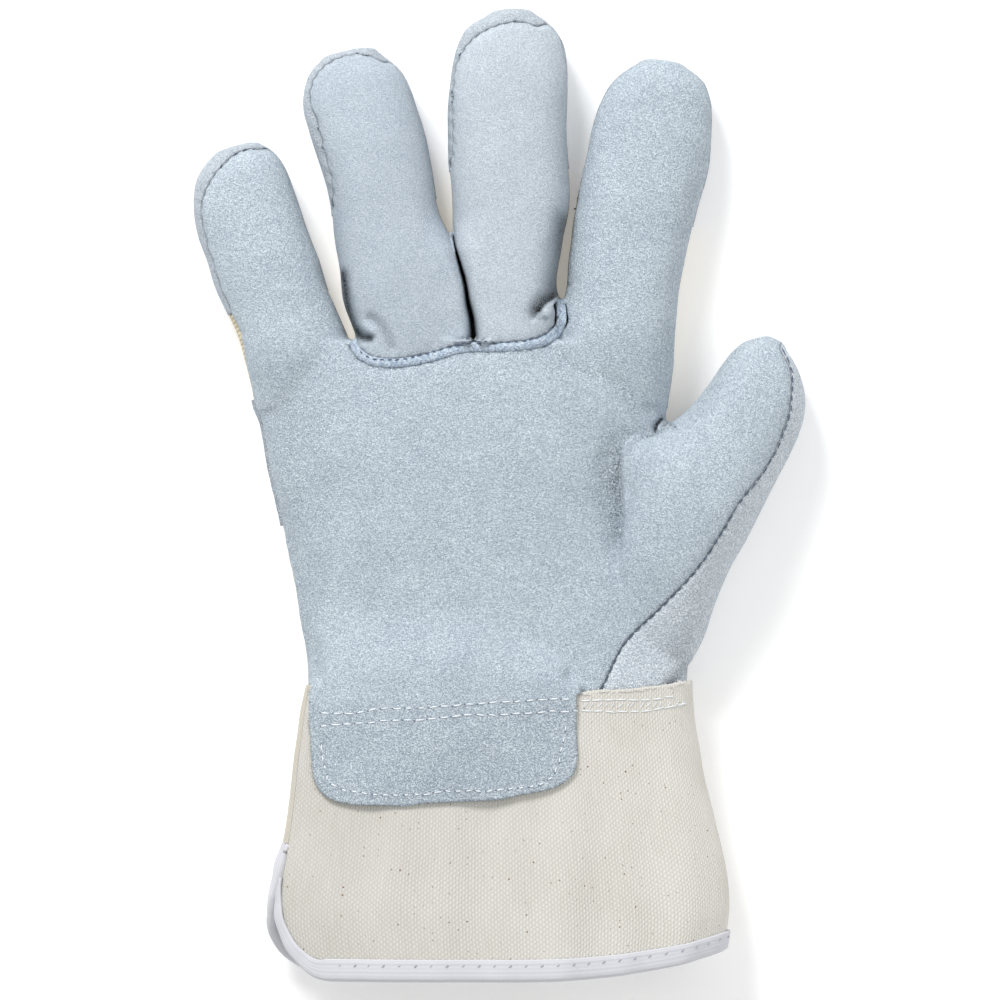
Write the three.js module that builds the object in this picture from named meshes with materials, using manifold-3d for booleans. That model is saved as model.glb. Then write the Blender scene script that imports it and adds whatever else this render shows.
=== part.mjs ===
// Rigger work glove for the right hand, lying on its back with the palm up.
// A split suede palm with separate middle fronts, a cloth back with a knuckle strap, and a bound canvas cuff.
// Millimetres, +Z up, the fingers towards +Y. The model is drawn from the middle of the wrist line, at floor
// height, and moved at the end so that its origin is the middle of its footprint.

import * as THREE from "three";
import { mergeVertices } from "three/addons/utils/BufferGeometryUtils.js";
import Module from "manifold-3d";

const wasm = await Module();
wasm.setup();

// Sizes of the hand
const palmWidth = 116;
const palmLength = 98;
const palmRise = 17;
const sideHeight = 9.5;
const seamHeight = 10.5;

// Walls and clearances
const leather = 1.4;
const cloth = 1.1;
const canvas = 1.2;
const tape = 0.9;
const gap = 0.3;

// Details on the hand
const weltWidth = 2.2;
const weltProud = 0.8;
const tipBackLength = 45;
const strapWidth = 37;
const strapLift = leather + gap;
const wristTuck = 8;

// Cuff and the leather tab that laps over it
const cuffLength = 80;
const cuffTopWidth = 109.2;
const cuffHemWidth = 127.8;
const cuffTopRise = 17;
const cuffHemRise = 20;
const cuffSideHeight = 13;
const cuffLift = tape + gap;
const cuffCentre = 0.085 * palmWidth;
const hemRise = 8;
const slitOpening = 3;
const slitCorner = 9;
const bindingDepth = 5;
const tabLength = 32;
const tabCorner = 10;
const tabLeft = cuffCentre - 0.48 * cuffTopWidth;
const tabRight = cuffCentre + 0.2 * cuffTopWidth;

// How round the sections are: a small value gives a fuller side, and a flat above 1 a wide flat underside
const fullness = 0.8;
const flat = 1.4;
const sides = 36;
const seamTurn = THREE.MathUtils.degToRad(163);
const reach = 400;

// The palm, wrist end first. Columns are shares: at of the palm's length, left and right of its width, top of
// its rise over the widest level.
const palmRows = [
  { at: 0.045, left: 0.372, right: 0.552, top: 1.0 },
  { at: 0.17, left: 0.385, right: 0.525, top: 0.98 },
  { at: 0.35, left: 0.41, right: 0.46, top: 0.97 },
  { at: 0.61, left: 0.466, right: 0.474, top: 1.0 },
  { at: 0.82, left: 0.5, right: 0.5, top: 0.93 },
  { at: 0.985, left: 0.53, right: 0.51, top: 0.8 },
];

// The fingers and the thumb. root is the share of the palm's width from its middle, foot the share of its
// length from the wrist, lean the angle from straight ahead. Row columns are shares: at of the length, left and
// right of the width, top of the rise over the widest level, under of the height of that level.
const limbs = {
  little: {
    root: -0.379, foot: 0.82, lean: -13.9, length: 73, width: 30, rise: 13,
    rows: [
      { at: 0, left: 0.46, right: 0.53, top: 0.75, under: 0.82 },
      { at: 0.2, left: 0.44, right: 0.547, top: 1.0, under: 0.84 },
      { at: 0.4, left: 0.49, right: 0.477, top: 0.95, under: 0.9 },
      { at: 0.6, left: 0.54, right: 0.407, top: 0.88, under: 0.97 },
      { at: 0.8, left: 0.563, right: 0.373, top: 0.76, under: 1 },
      { at: 0.92, left: 0.453, right: 0.307, top: 0.6, under: 0.95 },
      { at: 0.98, left: 0.28, right: 0.19, top: 0.4, under: 0.7 },
    ],
  },
  ring: {
    root: -0.114, foot: 0.82, lean: -9.5, length: 99, width: 31, rise: 14.5,
    rows: [
      { at: 0, left: 0.45, right: 0.58, top: 0.98, under: 0.82 },
      { at: 0.2, left: 0.435, right: 0.6, top: 1.0, under: 0.84 },
      { at: 0.4, left: 0.474, right: 0.555, top: 0.95, under: 0.9 },
      { at: 0.6, left: 0.448, right: 0.51, top: 0.88, under: 0.97 },
      { at: 0.8, left: 0.516, right: 0.452, top: 0.74, under: 1 },
      { at: 0.92, left: 0.494, right: 0.361, top: 0.58, under: 0.95 },
      { at: 0.98, left: 0.33, right: 0.2, top: 0.38, under: 0.7 },
    ],
  },
  middle: {
    root: 0.145, foot: 0.82, lean: -1.6, length: 109, width: 32, rise: 15,
    rows: [
      { at: 0, left: 0.4, right: 0.37, top: 0.95, under: 0.82 },
      { at: 0.2, left: 0.4, right: 0.39, top: 1.0, under: 0.84 },
      { at: 0.3, left: 0.44, right: 0.35, top: 0.98, under: 0.86 },
      { at: 0.4, left: 0.545, right: 0.416, top: 0.95, under: 0.9 },
      { at: 0.6, left: 0.58, right: 0.456, top: 0.88, under: 0.97 },
      { at: 0.8, left: 0.547, right: 0.472, top: 0.74, under: 1 },
      { at: 0.92, left: 0.447, right: 0.416, top: 0.56, under: 0.95 },
      { at: 0.98, left: 0.23, right: 0.22, top: 0.36, under: 0.7 },
    ],
  },
  index: {
    root: 0.375, foot: 0.82, lean: 6.7, length: 95.4, width: 33, rise: 14.5,
    rows: [
      { at: 0, left: 0.48, right: 0.43, top: 0.7, under: 0.82 },
      { at: 0.2, left: 0.59, right: 0.42, top: 1.0, under: 0.84 },
      { at: 0.32, left: 0.545, right: 0.415, top: 0.97, under: 0.88 },
      { at: 0.45, left: 0.56, right: 0.445, top: 0.93, under: 0.92 },
      { at: 0.6, left: 0.521, right: 0.479, top: 0.88, under: 0.97 },
      { at: 0.8, left: 0.473, right: 0.521, top: 0.74, under: 1 },
      { at: 0.92, left: 0.36, right: 0.458, top: 0.58, under: 0.95 },
      { at: 0.98, left: 0.17, right: 0.27, top: 0.38, under: 0.7 },
    ],
  },
  thumb: {
    root: 0.428, foot: 0.141, lean: 24.6, length: 92.2, width: 32, rise: 20,
    rows: [
      { at: 0, left: 0.38, right: 0.49, top: 0.54, under: 0.8 },
      { at: 0.2, left: 0.6, right: 0.46, top: 0.86, under: 0.86 },
      { at: 0.4, left: 0.76, right: 0.49, top: 1.0, under: 0.9 },
      { at: 0.53, left: 0.8, right: 0.495, top: 0.98, under: 0.93 },
      { at: 0.62, left: 0.57, right: 0.5, top: 0.9, under: 0.95 },
      { at: 0.72, left: 0.43, right: 0.52, top: 0.8, under: 0.97 },
      { at: 0.82, left: 0.37, right: 0.5, top: 0.68, under: 1 },
      { at: 0.92, left: 0.3, right: 0.345, top: 0.54, under: 0.95 },
      { at: 0.98, left: 0.15, right: 0.12, top: 0.34, under: 0.7 },
    ],
  },
};

// The seam on the front between the palm leather and the thumb's back leather, from the thumb's tip to the
// wrist. Columns are shares: at of the thumb's length, side of its width, to the right of its axis.
const thumbSeam = [
  { at: 1.15, side: -0.2 },
  { at: 0.99, side: -0.08 },
  { at: 0.98, side: 0.06 },
  { at: 0.93, side: 0.225 },
  { at: 0.85, side: 0.33 },
  { at: 0.75, side: 0.385 },
  { at: 0.65, side: 0.38 },
  { at: 0.51, side: 0.3 },
  { at: 0.27, side: 0.195 },
  { at: 0.13, side: 0.06 },
  { at: -0.04, side: -0.12 },
];

// The line of the welt at the foot of the two middle fingers. Columns are shares: across of the palm's width
// from its middle, along of the palm's length from the wrist.
const weltLine = [
  { across: -0.253, along: 0.968 },
  { across: -0.226, along: 0.943 },
  { across: -0.16, along: 0.92 },
  { across: -0.08, along: 0.935 },
  { across: -0.01, along: 0.972 },
  { across: 0.07, along: 0.976 },
  { across: 0.155, along: 0.985 },
  { across: 0.205, along: 1.005 },
  { across: 0.235, along: 1.05 },
  { across: 0.238, along: 1.13 },
];

// The cuff, wrist end first. Columns are shares: at of its length, flare of the way from the top width to the
// hem width.
const cuffRows = [
  { at: 0, flare: 0 },
  { at: 0.26, flare: 0.28 },
  { at: 0.5, flare: 0.65 },
  { at: 0.66, flare: 0.93 },
  { at: 0.8, flare: 1 },
  { at: 1, flare: 0.97 },
];

const slitStart = 0.5;
const bindingStart = 0.56;

// Value of a table's column at a place between its rows
function between(rows, at, column) {
  let next = 1;
  while (next < rows.length - 1 && rows[next].at < at) {
    next += 1;
  }
  const low = rows[next - 1];
  const high = rows[next];
  const share = (at - low.at) / (high.at - low.at);
  return low[column] + share * (high[column] - low[column]);
}

// One corner of a rounded section, at a turn counted from its right side over the top
function corner(section, turn, offset) {
  const width = Math.cos(turn) < 0 ? section.left : section.right;
  const across = Math.sign(Math.cos(turn)) * Math.abs(Math.cos(turn)) ** fullness * (width + offset);
  const lift = Math.abs(Math.sin(turn));
  const over = lift * (section.top + offset);
  const below = Math.min(1, flat * lift) * (section.under + offset);
  return { across, height: section.middle + (Math.sin(turn) > 0 ? over : -below) };
}

// Closed solid through rings of points, each ring with as many points as the others. contour is the flat
// outline of a ring, and its ends are closed over its own triangles.
function loft(rings, contour) {
  const count = rings[0].length;
  const position = rings.flat().flatMap((point) => point.toArray());
  const index = [];
  for (let row = 0; row < rings.length - 1; row += 1) {
    for (let step = 0; step < count; step += 1) {
      const near = row * count + step;
      const nearNext = row * count + ((step + 1) % count);
      index.push(near, near + count, nearNext, nearNext, near + count, nearNext + count);
    }
  }
  const last = (rings.length - 1) * count;
  for (const [a, b, c] of THREE.ShapeUtils.triangulateShape(contour, [])) {
    index.push(a, b, c, last + a, last + c, last + b);
  }
  return solid(position, index);
}

// Contour of a rounded section with a number of corners
function roundContour(turns) {
  const contour = [];
  for (let step = 0; step < turns; step += 1) {
    const turn = (step / turns) * 2 * Math.PI;
    contour.push(new THREE.Vector2(Math.cos(turn), Math.sin(turn)));
  }
  return contour;
}

function solid(position, index) {
  const mesh = new wasm.Mesh({
    numProp: 3,
    vertProperties: new Float32Array(position),
    triVerts: new Uint32Array(index),
  });
  return new wasm.Manifold(mesh);
}

function solidFrom(geometry) {
  geometry.deleteAttribute("normal");
  geometry.deleteAttribute("uv");
  const merged = mergeVertices(geometry, 1e-4);
  return solid(merged.attributes.position.array, merged.index.array);
}

// Upright block over an outline in the floor plane, between two heights
function block(outline, low, high) {
  const options = { depth: high - low, bevelEnabled: false, curveSegments: 6 };
  const geometry = new THREE.ExtrudeGeometry(outline, options);
  geometry.translate(0, 0, low);
  return solidFrom(geometry);
}

// Slab of space between two heights
function layer(low, high) {
  const geometry = new THREE.BoxGeometry(reach, reach, high - low);
  geometry.translate(0, 0, (low + high) / 2);
  return solidFrom(geometry);
}

// Line moved sideways, to its left for a positive distance
function besideLine(points, distance) {
  return points.map((point, place) => {
    const before = points[Math.max(place - 1, 0)];
    const after = points[Math.min(place + 1, points.length - 1)];
    const along = after.clone().sub(before).normalize();
    return new THREE.Vector2(point.x - along.y * distance, point.y + along.x * distance);
  });
}

function smoothLine(points, steps) {
  return new THREE.SplineCurve(points).getPoints(steps);
}

// Frame of a limb: its foot, its direction and the direction to its right
function limbFrame(limb) {
  const lean = THREE.MathUtils.degToRad(limb.lean);
  return {
    foot: new THREE.Vector2(limb.root * palmWidth, limb.foot * palmLength),
    ahead: new THREE.Vector2(Math.sin(lean), Math.cos(lean)),
    right: new THREE.Vector2(Math.cos(lean), -Math.sin(lean)),
  };
}

function limbPoint(limb, along, aside) {
  const frame = limbFrame(limb);
  return frame.foot.clone().addScaledVector(frame.ahead, along).addScaledVector(frame.right, aside);
}

// Outer form of a finger or the thumb, grown or shrunk by an offset
function limbSolid(limb, offset) {
  const turns = 16;
  const rings = limb.rows.map((row) => {
    const section = {
      left: row.left * limb.width,
      right: row.right * limb.width,
      top: row.top * limb.rise,
      under: row.under * sideHeight,
      middle: sideHeight,
    };
    const ring = [];
    for (let step = 0; step < turns; step += 1) {
      const place = corner(section, (step / turns) * 2 * Math.PI, offset);
      const plan = limbPoint(limb, Math.max(row.at * (limb.length + offset), -offset), place.across);
      ring.push(new THREE.Vector3(plan.x, plan.y, place.height));
    }
    return ring;
  });
  return loft(rings, roundContour(turns));
}

// Section of the cuff's outer face at a share of its length from the wrist
function cuffSection(at) {
  const flare = between(cuffRows, at, "flare");
  const half = (cuffTopWidth + flare * (cuffHemWidth - cuffTopWidth)) / 2;
  return {
    left: half,
    right: half,
    top: cuffTopRise + at * (cuffHemRise - cuffTopRise),
    under: cuffSideHeight - cuffLift,
    middle: cuffSideHeight,
  };
}

function cuffColumnPoint(column, at, offset) {
  const turn = seamTurn - (column / sides) * 2 * Math.PI;
  const place = corner(cuffSection(at), turn, offset);
  const shorten = hemRise * Math.max(0, Math.cos(turn)) ** 2;
  return new THREE.Vector3(cuffCentre + place.across, -at * (cuffLength - cuffLift - shorten), place.height);
}

// Point on the cuff. column counts from the slit over the palm side and round, and may lie between two columns.
function cuffPoint(column, at, offset) {
  const first = THREE.MathUtils.clamp(Math.floor(column), 0, sides - 1);
  const start = cuffColumnPoint(first, at, offset);
  return start.lerp(cuffColumnPoint(first + 1, at, offset), column - first);
}

function cuffRing(at, offset) {
  const ring = [];
  for (let column = sides - 1; column >= 0; column -= 1) {
    ring.push(cuffColumnPoint(column, at, offset));
  }
  return ring;
}

// Ring of the palm's outer face, turned in step with the cuff's columns
function palmRing(row, offset) {
  const section = {
    left: row.left * palmWidth,
    right: row.right * palmWidth,
    top: row.top * palmRise,
    under: sideHeight - strapLift,
    middle: sideHeight,
  };
  const centre = (section.right - section.left) / 2;
  section.left += centre;
  section.right -= centre;
  const ring = [];
  for (let column = sides - 1; column >= 0; column -= 1) {
    const place = corner(section, seamTurn - (column / sides) * 2 * Math.PI, offset);
    ring.push(new THREE.Vector3(centre + place.across, row.at * palmLength, place.height));
  }
  return ring;
}

// Outer form of the palm and of the wrist tucked into the cuff, ending a given depth inside it
function palmSolid(offset, depth) {
  const inside = -canvas - 2 * gap + offset;
  const rings = [cuffRing(depth / cuffLength, inside), cuffRing(0, inside)];
  for (const row of palmRows) {
    rings.push(palmRing(row, offset));
  }
  return loft(rings, roundContour(sides));
}

function joined(solids) {
  return solids.reduce((whole, next) => whole.add(next));
}

const { little, ring, middle, index, thumb } = limbs;
const palmOuter = palmSolid(0, wristTuck);
const outer = {};
for (const name of Object.keys(limbs)) {
  outer[name] = limbSolid(limbs[name], 0);
}
const hollow = joined([
  palmSolid(-leather, 2 * wristTuck),
  ...Object.values(limbs).map((limb) => limbSolid(limb, -leather)),
]);
const frontSpace = layer(seamHeight + gap / 2, reach);
const backSpace = layer(-reach, seamHeight - gap / 2);

// Welt line and the space over it that belongs to the two middle fingers
const weltCurve = smoothLine(
  weltLine.map((row) => new THREE.Vector2(row.across * palmWidth, row.along * palmLength)),
  18,
);

// The space widens upwards between the little and ring fingers and between the middle and index fingers
function fingerSpace(distance) {
  const edge = besideLine(weltCurve, distance);
  const first = edge[0];
  const last = edge[edge.length - 1];
  const rise = palmLength + middle.length;
  const outline = [
    ...edge,
    new THREE.Vector2(last.x + 0.1 * rise, last.y + rise),
    new THREE.Vector2(first.x - 0.28 * rise, first.y + rise),
  ];
  return block(new THREE.Shape(outline), seamHeight - gap, reach / 2);
}

// Spaces on the front and on the back that belong to the thumb's back leather
const wristSeam = new THREE.Vector2(0.332 * palmWidth, 0);
const seamCurve = [
  ...thumbSeam.map((row) => limbPoint(thumb, row.at * thumb.length, row.side * thumb.width)),
  wristSeam,
  new THREE.Vector2(wristSeam.x, -2 * wristTuck),
];

function wingFrontSpace(distance) {
  const outline = [
    ...besideLine(seamCurve, -distance),
    new THREE.Vector2(reach / 2, -2 * wristTuck),
    new THREE.Vector2(reach / 2, 1.5 * palmLength),
  ];
  return block(new THREE.Shape(outline), seamHeight - gap, reach / 2);
}

const crotch = new THREE.Vector2(0.506 * palmWidth, 0.762 * palmLength);
const backCurve = [
  new THREE.Vector2(wristSeam.x, -2 * wristTuck),
  new THREE.Vector2(wristSeam.x, 0),
  new THREE.Vector2(0.436 * palmWidth, 0.402 * palmLength),
  crotch,
  new THREE.Vector2(crotch.x + 0.25 * thumb.length, crotch.y + thumb.length),
];

function wingBackSpace(distance) {
  const outline = [
    ...besideLine(backCurve, distance),
    new THREE.Vector2(reach / 2, crotch.y + thumb.length),
    new THREE.Vector2(reach / 2, -2 * wristTuck),
  ];
  return block(new THREE.Shape(outline), -reach / 2, seamHeight - gap / 2);
}

// Space past a line across a finger, a given distance from its tip
function tipSpace(limb, distance) {
  const side = 0.8 * limb.width;
  const outline = [
    limbPoint(limb, limb.length - distance, -side),
    limbPoint(limb, limb.length - distance, side),
    limbPoint(limb, 1.2 * limb.length, side),
    limbPoint(limb, 1.2 * limb.length, -side),
  ];
  return block(new THREE.Shape(outline), -reach / 2, seamHeight - gap / 2);
}

// Round-cornered tab of palm leather over the cuff, flush with the palm at its upper end
function tabSolid() {
  const blend = 0.17;
  const over = leather + gap;
  const rings = [
    cuffRing(0.6, over),
    cuffRing(0.5, over),
    cuffRing(0.26, over),
    cuffRing(0, over),
    palmRing({ ...palmRows[1], at: blend }, -gap),
  ];
  const body = loft(rings, roundContour(sides));
  const outline = new THREE.Shape();
  outline.moveTo(tabLeft, blend * palmLength);
  outline.lineTo(tabLeft + 0.15 * tabCorner, tabCorner - tabLength);
  outline.quadraticCurveTo(tabLeft + 0.3 * tabCorner, -tabLength, tabLeft + 1.4 * tabCorner, -tabLength);
  outline.lineTo(tabRight - tabCorner, 0.3 * tabCorner - tabLength);
  outline.quadraticCurveTo(tabRight, 0.4 * tabCorner - tabLength, tabRight, 1.3 * tabCorner - tabLength);
  outline.lineTo(tabRight, gap);
  outline.lineTo(wristSeam.x, gap);
  outline.lineTo(wristSeam.x, blend * palmLength);
  return body.intersect(block(outline, cuffSideHeight, reach / 2));
}

// Part of the palm leather that runs under the canvas between the tab and the thumb's seam
function palmTuck() {
  const left = tabRight + gap;
  const outline = new THREE.Shape();
  outline.moveTo(left, 4 * gap);
  outline.lineTo(left, -wristTuck - gap);
  outline.lineTo(wristSeam.x, -wristTuck - gap);
  outline.lineTo(wristSeam.x, 4 * gap);
  return palmOuter.intersect(block(outline, seamHeight, reach / 2));
}

function palmLeather() {
  const cuffRings = [cuffRing(0.65, gap), cuffRing(0.5, gap), cuffRing(0.26, gap), cuffRing(-0.005, gap)];
  const cuffSpace = loft(cuffRings, roundContour(sides));
  const hand = joined([palmOuter, outer.little, outer.index, outer.thumb, tabSolid()]);
  return hand
    .subtract(cuffSpace)
    .add(palmTuck())
    .subtract(hollow)
    .subtract(fingerSpace(-weltWidth / 2 - gap))
    .subtract(wingFrontSpace(gap))
    .intersect(frontSpace);
}

function fingerFront(limb, neighbours) {
  const clear = joined(neighbours.map((other) => limbSolid(other, gap)));
  return limbSolid(limb, 0)
    .subtract(hollow)
    .subtract(clear)
    .intersect(fingerSpace(weltWidth / 2 + gap))
    .intersect(frontSpace);
}

function fingerBaseWelt() {
  const band = new THREE.Shape([
    ...besideLine(weltCurve, weltWidth / 2),
    ...besideLine(weltCurve, -weltWidth / 2).reverse(),
  ]);
  const proud = joined([
    palmSolid(weltProud, wristTuck),
    limbSolid(ring, weltProud),
    limbSolid(middle, weltProud),
  ]);
  return proud.subtract(hollow).intersect(block(band, seamHeight, reach / 2)).intersect(frontSpace);
}

function thumbWing() {
  const space = wingFrontSpace(0).add(wingBackSpace(0));
  return palmOuter.add(outer.thumb).subtract(hollow).intersect(space);
}

function tipBack(limb) {
  return limbSolid(limb, 0).subtract(hollow).intersect(tipSpace(limb, tipBackLength)).intersect(backSpace);
}

const fingers = [little, ring, middle, index];

// The cloth is thinner than the leather, so its own hollow is a little larger
function backCloth() {
  const clothHollow = joined([
    palmSolid(-cloth, 2 * wristTuck),
    ...fingers.map((limb) => limbSolid(limb, -cloth)),
    limbSolid(thumb, -leather),
  ]);
  const stumps = fingers.map((limb) => limbSolid(limb, 0).subtract(tipSpace(limb, tipBackLength + gap)));
  return joined([palmOuter, ...stumps])
    .subtract(clothHollow)
    .subtract(wingBackSpace(gap))
    .intersect(backSpace);
}

// Flat band across the knuckles, under the cloth
function knuckleStrap() {
  const high = 0.83 * palmLength;
  const low = high - strapWidth;
  const outline = new THREE.Shape([
    new THREE.Vector2(-palmWidth, low),
    new THREE.Vector2(palmWidth, low),
    new THREE.Vector2(palmWidth, high),
    new THREE.Vector2(-palmWidth, high),
  ]);
  const inside = joined([palmSolid(gap, wristTuck), ...fingers.map((limb) => limbSolid(limb, gap))]);
  return palmSolid(gap + leather, wristTuck)
    .intersect(block(outline, -reach / 2, seamHeight - gap / 2))
    .subtract(inside)
    .subtract(limbSolid(thumb, gap))
    .subtract(wingBackSpace(gap));
}

// Distance round the hem from the slit to each column
const hemPlaces = [0];
for (let column = 1; column <= sides; column += 1) {
  const step = cuffColumnPoint(column, 1, 0).distanceTo(cuffColumnPoint(column - 1, 1, 0));
  hemPlaces.push(hemPlaces[column - 1] + step);
}
const girth = hemPlaces[sides];

function columnAt(place) {
  let next = 1;
  while (next < sides && hemPlaces[next] < place) {
    next += 1;
  }
  return next - 1 + (place - hemPlaces[next - 1]) / (hemPlaces[next] - hemPlaces[next - 1]);
}

// Half of the space between the strip's two ends: a closed seam near the wrist, then the open slit
function endSpace(at) {
  const open = cuffLift + gap;
  const closed = gap / 2;
  const turn = THREE.MathUtils.clamp((at - slitStart) / (bindingStart - slitStart), 0, 1);
  const widen = Math.max(0, at - bindingStart) * slitOpening;
  return closed + turn * (open - closed) + widen;
}

// Share of the cuff's length where the canvas ends at a place round the hem, with round corners at the slit
function hemEnd(place) {
  const near = Math.min(place, girth - place, slitCorner);
  const drop = slitCorner - Math.sqrt(slitCorner ** 2 - (slitCorner - near) ** 2);
  return 1 - drop / cuffLength;
}

// Point of the strip on one of its columns, moved clear of the seam and the slit
function stripColumnPoint(column, at, offset) {
  const space = endSpace(at);
  const moved = space + (hemPlaces[column] * (girth - 2 * space)) / girth;
  return cuffPoint(columnAt(moved), at, offset);
}

// Point of the strip at any place round it, also a little past its ends
function stripPoint(place, at, offset) {
  const column = columnAt(place);
  const first = THREE.MathUtils.clamp(Math.floor(column), 0, sides - 1);
  const start = stripColumnPoint(first, at, offset);
  return start.lerp(stripColumnPoint(first + 1, at, offset), column - first);
}

const cuffLevels = [0, 0.13, 0.26, 0.38, slitStart, bindingStart, 0.66, 0.8, 0.9, 1];

// Levels of one column of the strip, pulled up where the corner is round
function columnLevels(place) {
  const end = hemEnd(place);
  return cuffLevels.map((level) => (level > bindingStart
    ? bindingStart + ((level - bindingStart) * (end - bindingStart)) / (1 - bindingStart)
    : level));
}

// Closed strip of canvas wrapped round the wrist from the slit to the slit, each face moved out by grow
function cuffStrip(grow) {
  const position = [];
  const index = [];
  const rows = cuffLevels.length;
  const face = (sides + 1) * rows;
  for (const offset of [grow, -canvas - grow]) {
    for (const place of hemPlaces) {
      for (const level of columnLevels(place)) {
        position.push(...stripPoint(place, level, offset).toArray());
      }
    }
  }
  for (let column = 0; column < sides; column += 1) {
    for (let row = 0; row < rows - 1; row += 1) {
      const a = column * rows + row;
      const b = a + rows;
      index.push(a, a + 1, b, b, a + 1, b + 1);
      index.push(face + a, face + b, face + a + 1, face + b, face + b + 1, face + a + 1);
    }
    const top = column * rows;
    const hem = top + rows - 1;
    index.push(top, top + rows, face + top, top + rows, face + top + rows, face + top);
    index.push(hem, face + hem, hem + rows, hem + rows, face + hem, face + hem + rows);
  }
  const last = sides * rows;
  for (let row = 0; row < rows - 1; row += 1) {
    index.push(row, face + row, row + 1, row + 1, face + row, face + row + 1);
    const end = last + row;
    index.push(end, end + 1, face + end, end + 1, face + end + 1, face + end);
  }
  return solid(position, index);
}

// Tape folded over the hem and both edges of the slit: a U section carried along the canvas edge
function cuffBinding() {
  const edge = [];
  const slitLevels = columnLevels(0).slice(0, -1).filter((level) => level > bindingStart);
  const slitEdge = [bindingStart + 0.01, ...slitLevels];
  for (const at of slitEdge) {
    edge.push({ place: 0, at });
  }
  for (const place of hemPlaces) {
    edge.push({ place, at: hemEnd(place) });
  }
  for (const at of slitEdge.toReversed()) {
    edge.push({ place: girth, at });
  }
  const inner = canvas / 2 + gap;
  const outerFace = inner + tape;
  const section = [
    { depth: bindingDepth, height: outerFace },
    { depth: bindingDepth, height: inner },
    { depth: -gap, height: inner },
    { depth: -gap, height: -inner },
    { depth: bindingDepth, height: -inner },
    { depth: bindingDepth, height: -outerFace },
    { depth: -gap - tape, height: -outerFace },
    { depth: -gap - tape, height: outerFace },
  ];
  const rings = edge.map((station, number) => {
    const before = edge[Math.max(number - 1, 0)];
    const after = edge[Math.min(number + 1, edge.length - 1)];
    const down = (after.at - before.at) * cuffLength;
    const along = new THREE.Vector2(after.place - before.place, down).normalize();
    return section.map((point) => {
      const place = station.place + along.y * point.depth;
      const at = station.at - (along.x * point.depth) / cuffLength;
      return stripPoint(place, at, point.height - canvas / 2);
    });
  });
  const contour = section.map((point) => new THREE.Vector2(-point.depth, point.height));
  return loft(rings, contour).subtract(cuffStrip(gap / 2));
}

const group = new THREE.Group();

function addPiece(name, piece, colour, roughness) {
  const mesh = piece.getMesh();
  const geometry = new THREE.BufferGeometry();
  geometry.setAttribute("position", new THREE.BufferAttribute(mesh.vertProperties, 3));
  geometry.setIndex(new THREE.BufferAttribute(mesh.triVerts, 1));
  geometry.computeVertexNormals();
  const material = new THREE.MeshStandardMaterial({ color: colour, roughness, metalness: 0 });
  const node = new THREE.Mesh(geometry, material);
  node.name = name;
  group.add(node);
}

addPiece("palm_leather", palmLeather(), 0xbfcad2, 0.9);
addPiece("ring_finger_front", fingerFront(ring, [little, middle]), 0xc1cbd5, 0.9);
addPiece("middle_finger_front", fingerFront(middle, [index]), 0xc7d0d8, 0.9);
addPiece("finger_base_welt", fingerBaseWelt(), 0xb2c1cf, 0.85);
addPiece("thumb_wing", thumbWing(), 0xbfc8cf, 0.9);
addPiece("back_cloth", backCloth(), 0xd8d4c6, 0.95);
addPiece("little_tip_back", tipBack(little), 0xbfc8cf, 0.9);
addPiece("ring_tip_back", tipBack(ring), 0xbfc8cf, 0.9);
addPiece("middle_tip_back", tipBack(middle), 0xbfc8cf, 0.9);
addPiece("index_tip_back", tipBack(index), 0xbfc8cf, 0.9);
addPiece("knuckle_strap", knuckleStrap(), 0xb9c3cb, 0.9);
addPiece("cuff_canvas", cuffStrip(0), 0xdad8d0, 0.95);
addPiece("cuff_binding", cuffBinding(), 0xd7d7da, 0.9);

// The origin is the middle of the footprint, at floor height
const extent = new THREE.Box3().setFromObject(group);
const middlePoint = extent.getCenter(new THREE.Vector3());
group.position.set(-middlePoint.x, -middlePoint.y, -extent.min.z);

export default group;
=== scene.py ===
import math

import bmesh
import bpy
import numpy as np
from mathutils import Matrix, Vector, noise
from mathutils.bvhtree import BVHTree


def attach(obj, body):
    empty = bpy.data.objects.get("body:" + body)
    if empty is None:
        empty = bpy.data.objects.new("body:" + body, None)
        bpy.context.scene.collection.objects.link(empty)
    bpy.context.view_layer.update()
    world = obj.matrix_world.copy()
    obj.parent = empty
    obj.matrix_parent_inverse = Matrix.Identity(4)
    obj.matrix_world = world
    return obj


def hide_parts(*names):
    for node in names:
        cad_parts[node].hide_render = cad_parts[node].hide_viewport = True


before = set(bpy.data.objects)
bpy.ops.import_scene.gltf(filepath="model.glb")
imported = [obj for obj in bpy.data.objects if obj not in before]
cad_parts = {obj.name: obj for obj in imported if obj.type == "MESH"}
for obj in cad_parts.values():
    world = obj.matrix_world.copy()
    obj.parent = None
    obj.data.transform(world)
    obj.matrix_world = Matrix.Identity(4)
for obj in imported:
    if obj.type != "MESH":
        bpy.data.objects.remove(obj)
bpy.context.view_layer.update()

# Form of the hand
# The soft form that all the panels are cut from: a rounded palm with four fingers and a thumb grown into
# it. Sizes are millimetres in the part's own frame. The wrist runs on into the cuff.
LEATHER = 1.4
CLOTH = 1.1
SKIN_GRAIN = 0.7
PALM_GRAIN = 0.78
MILLIMETRE = 0.001
LEVEL = 9.5

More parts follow.
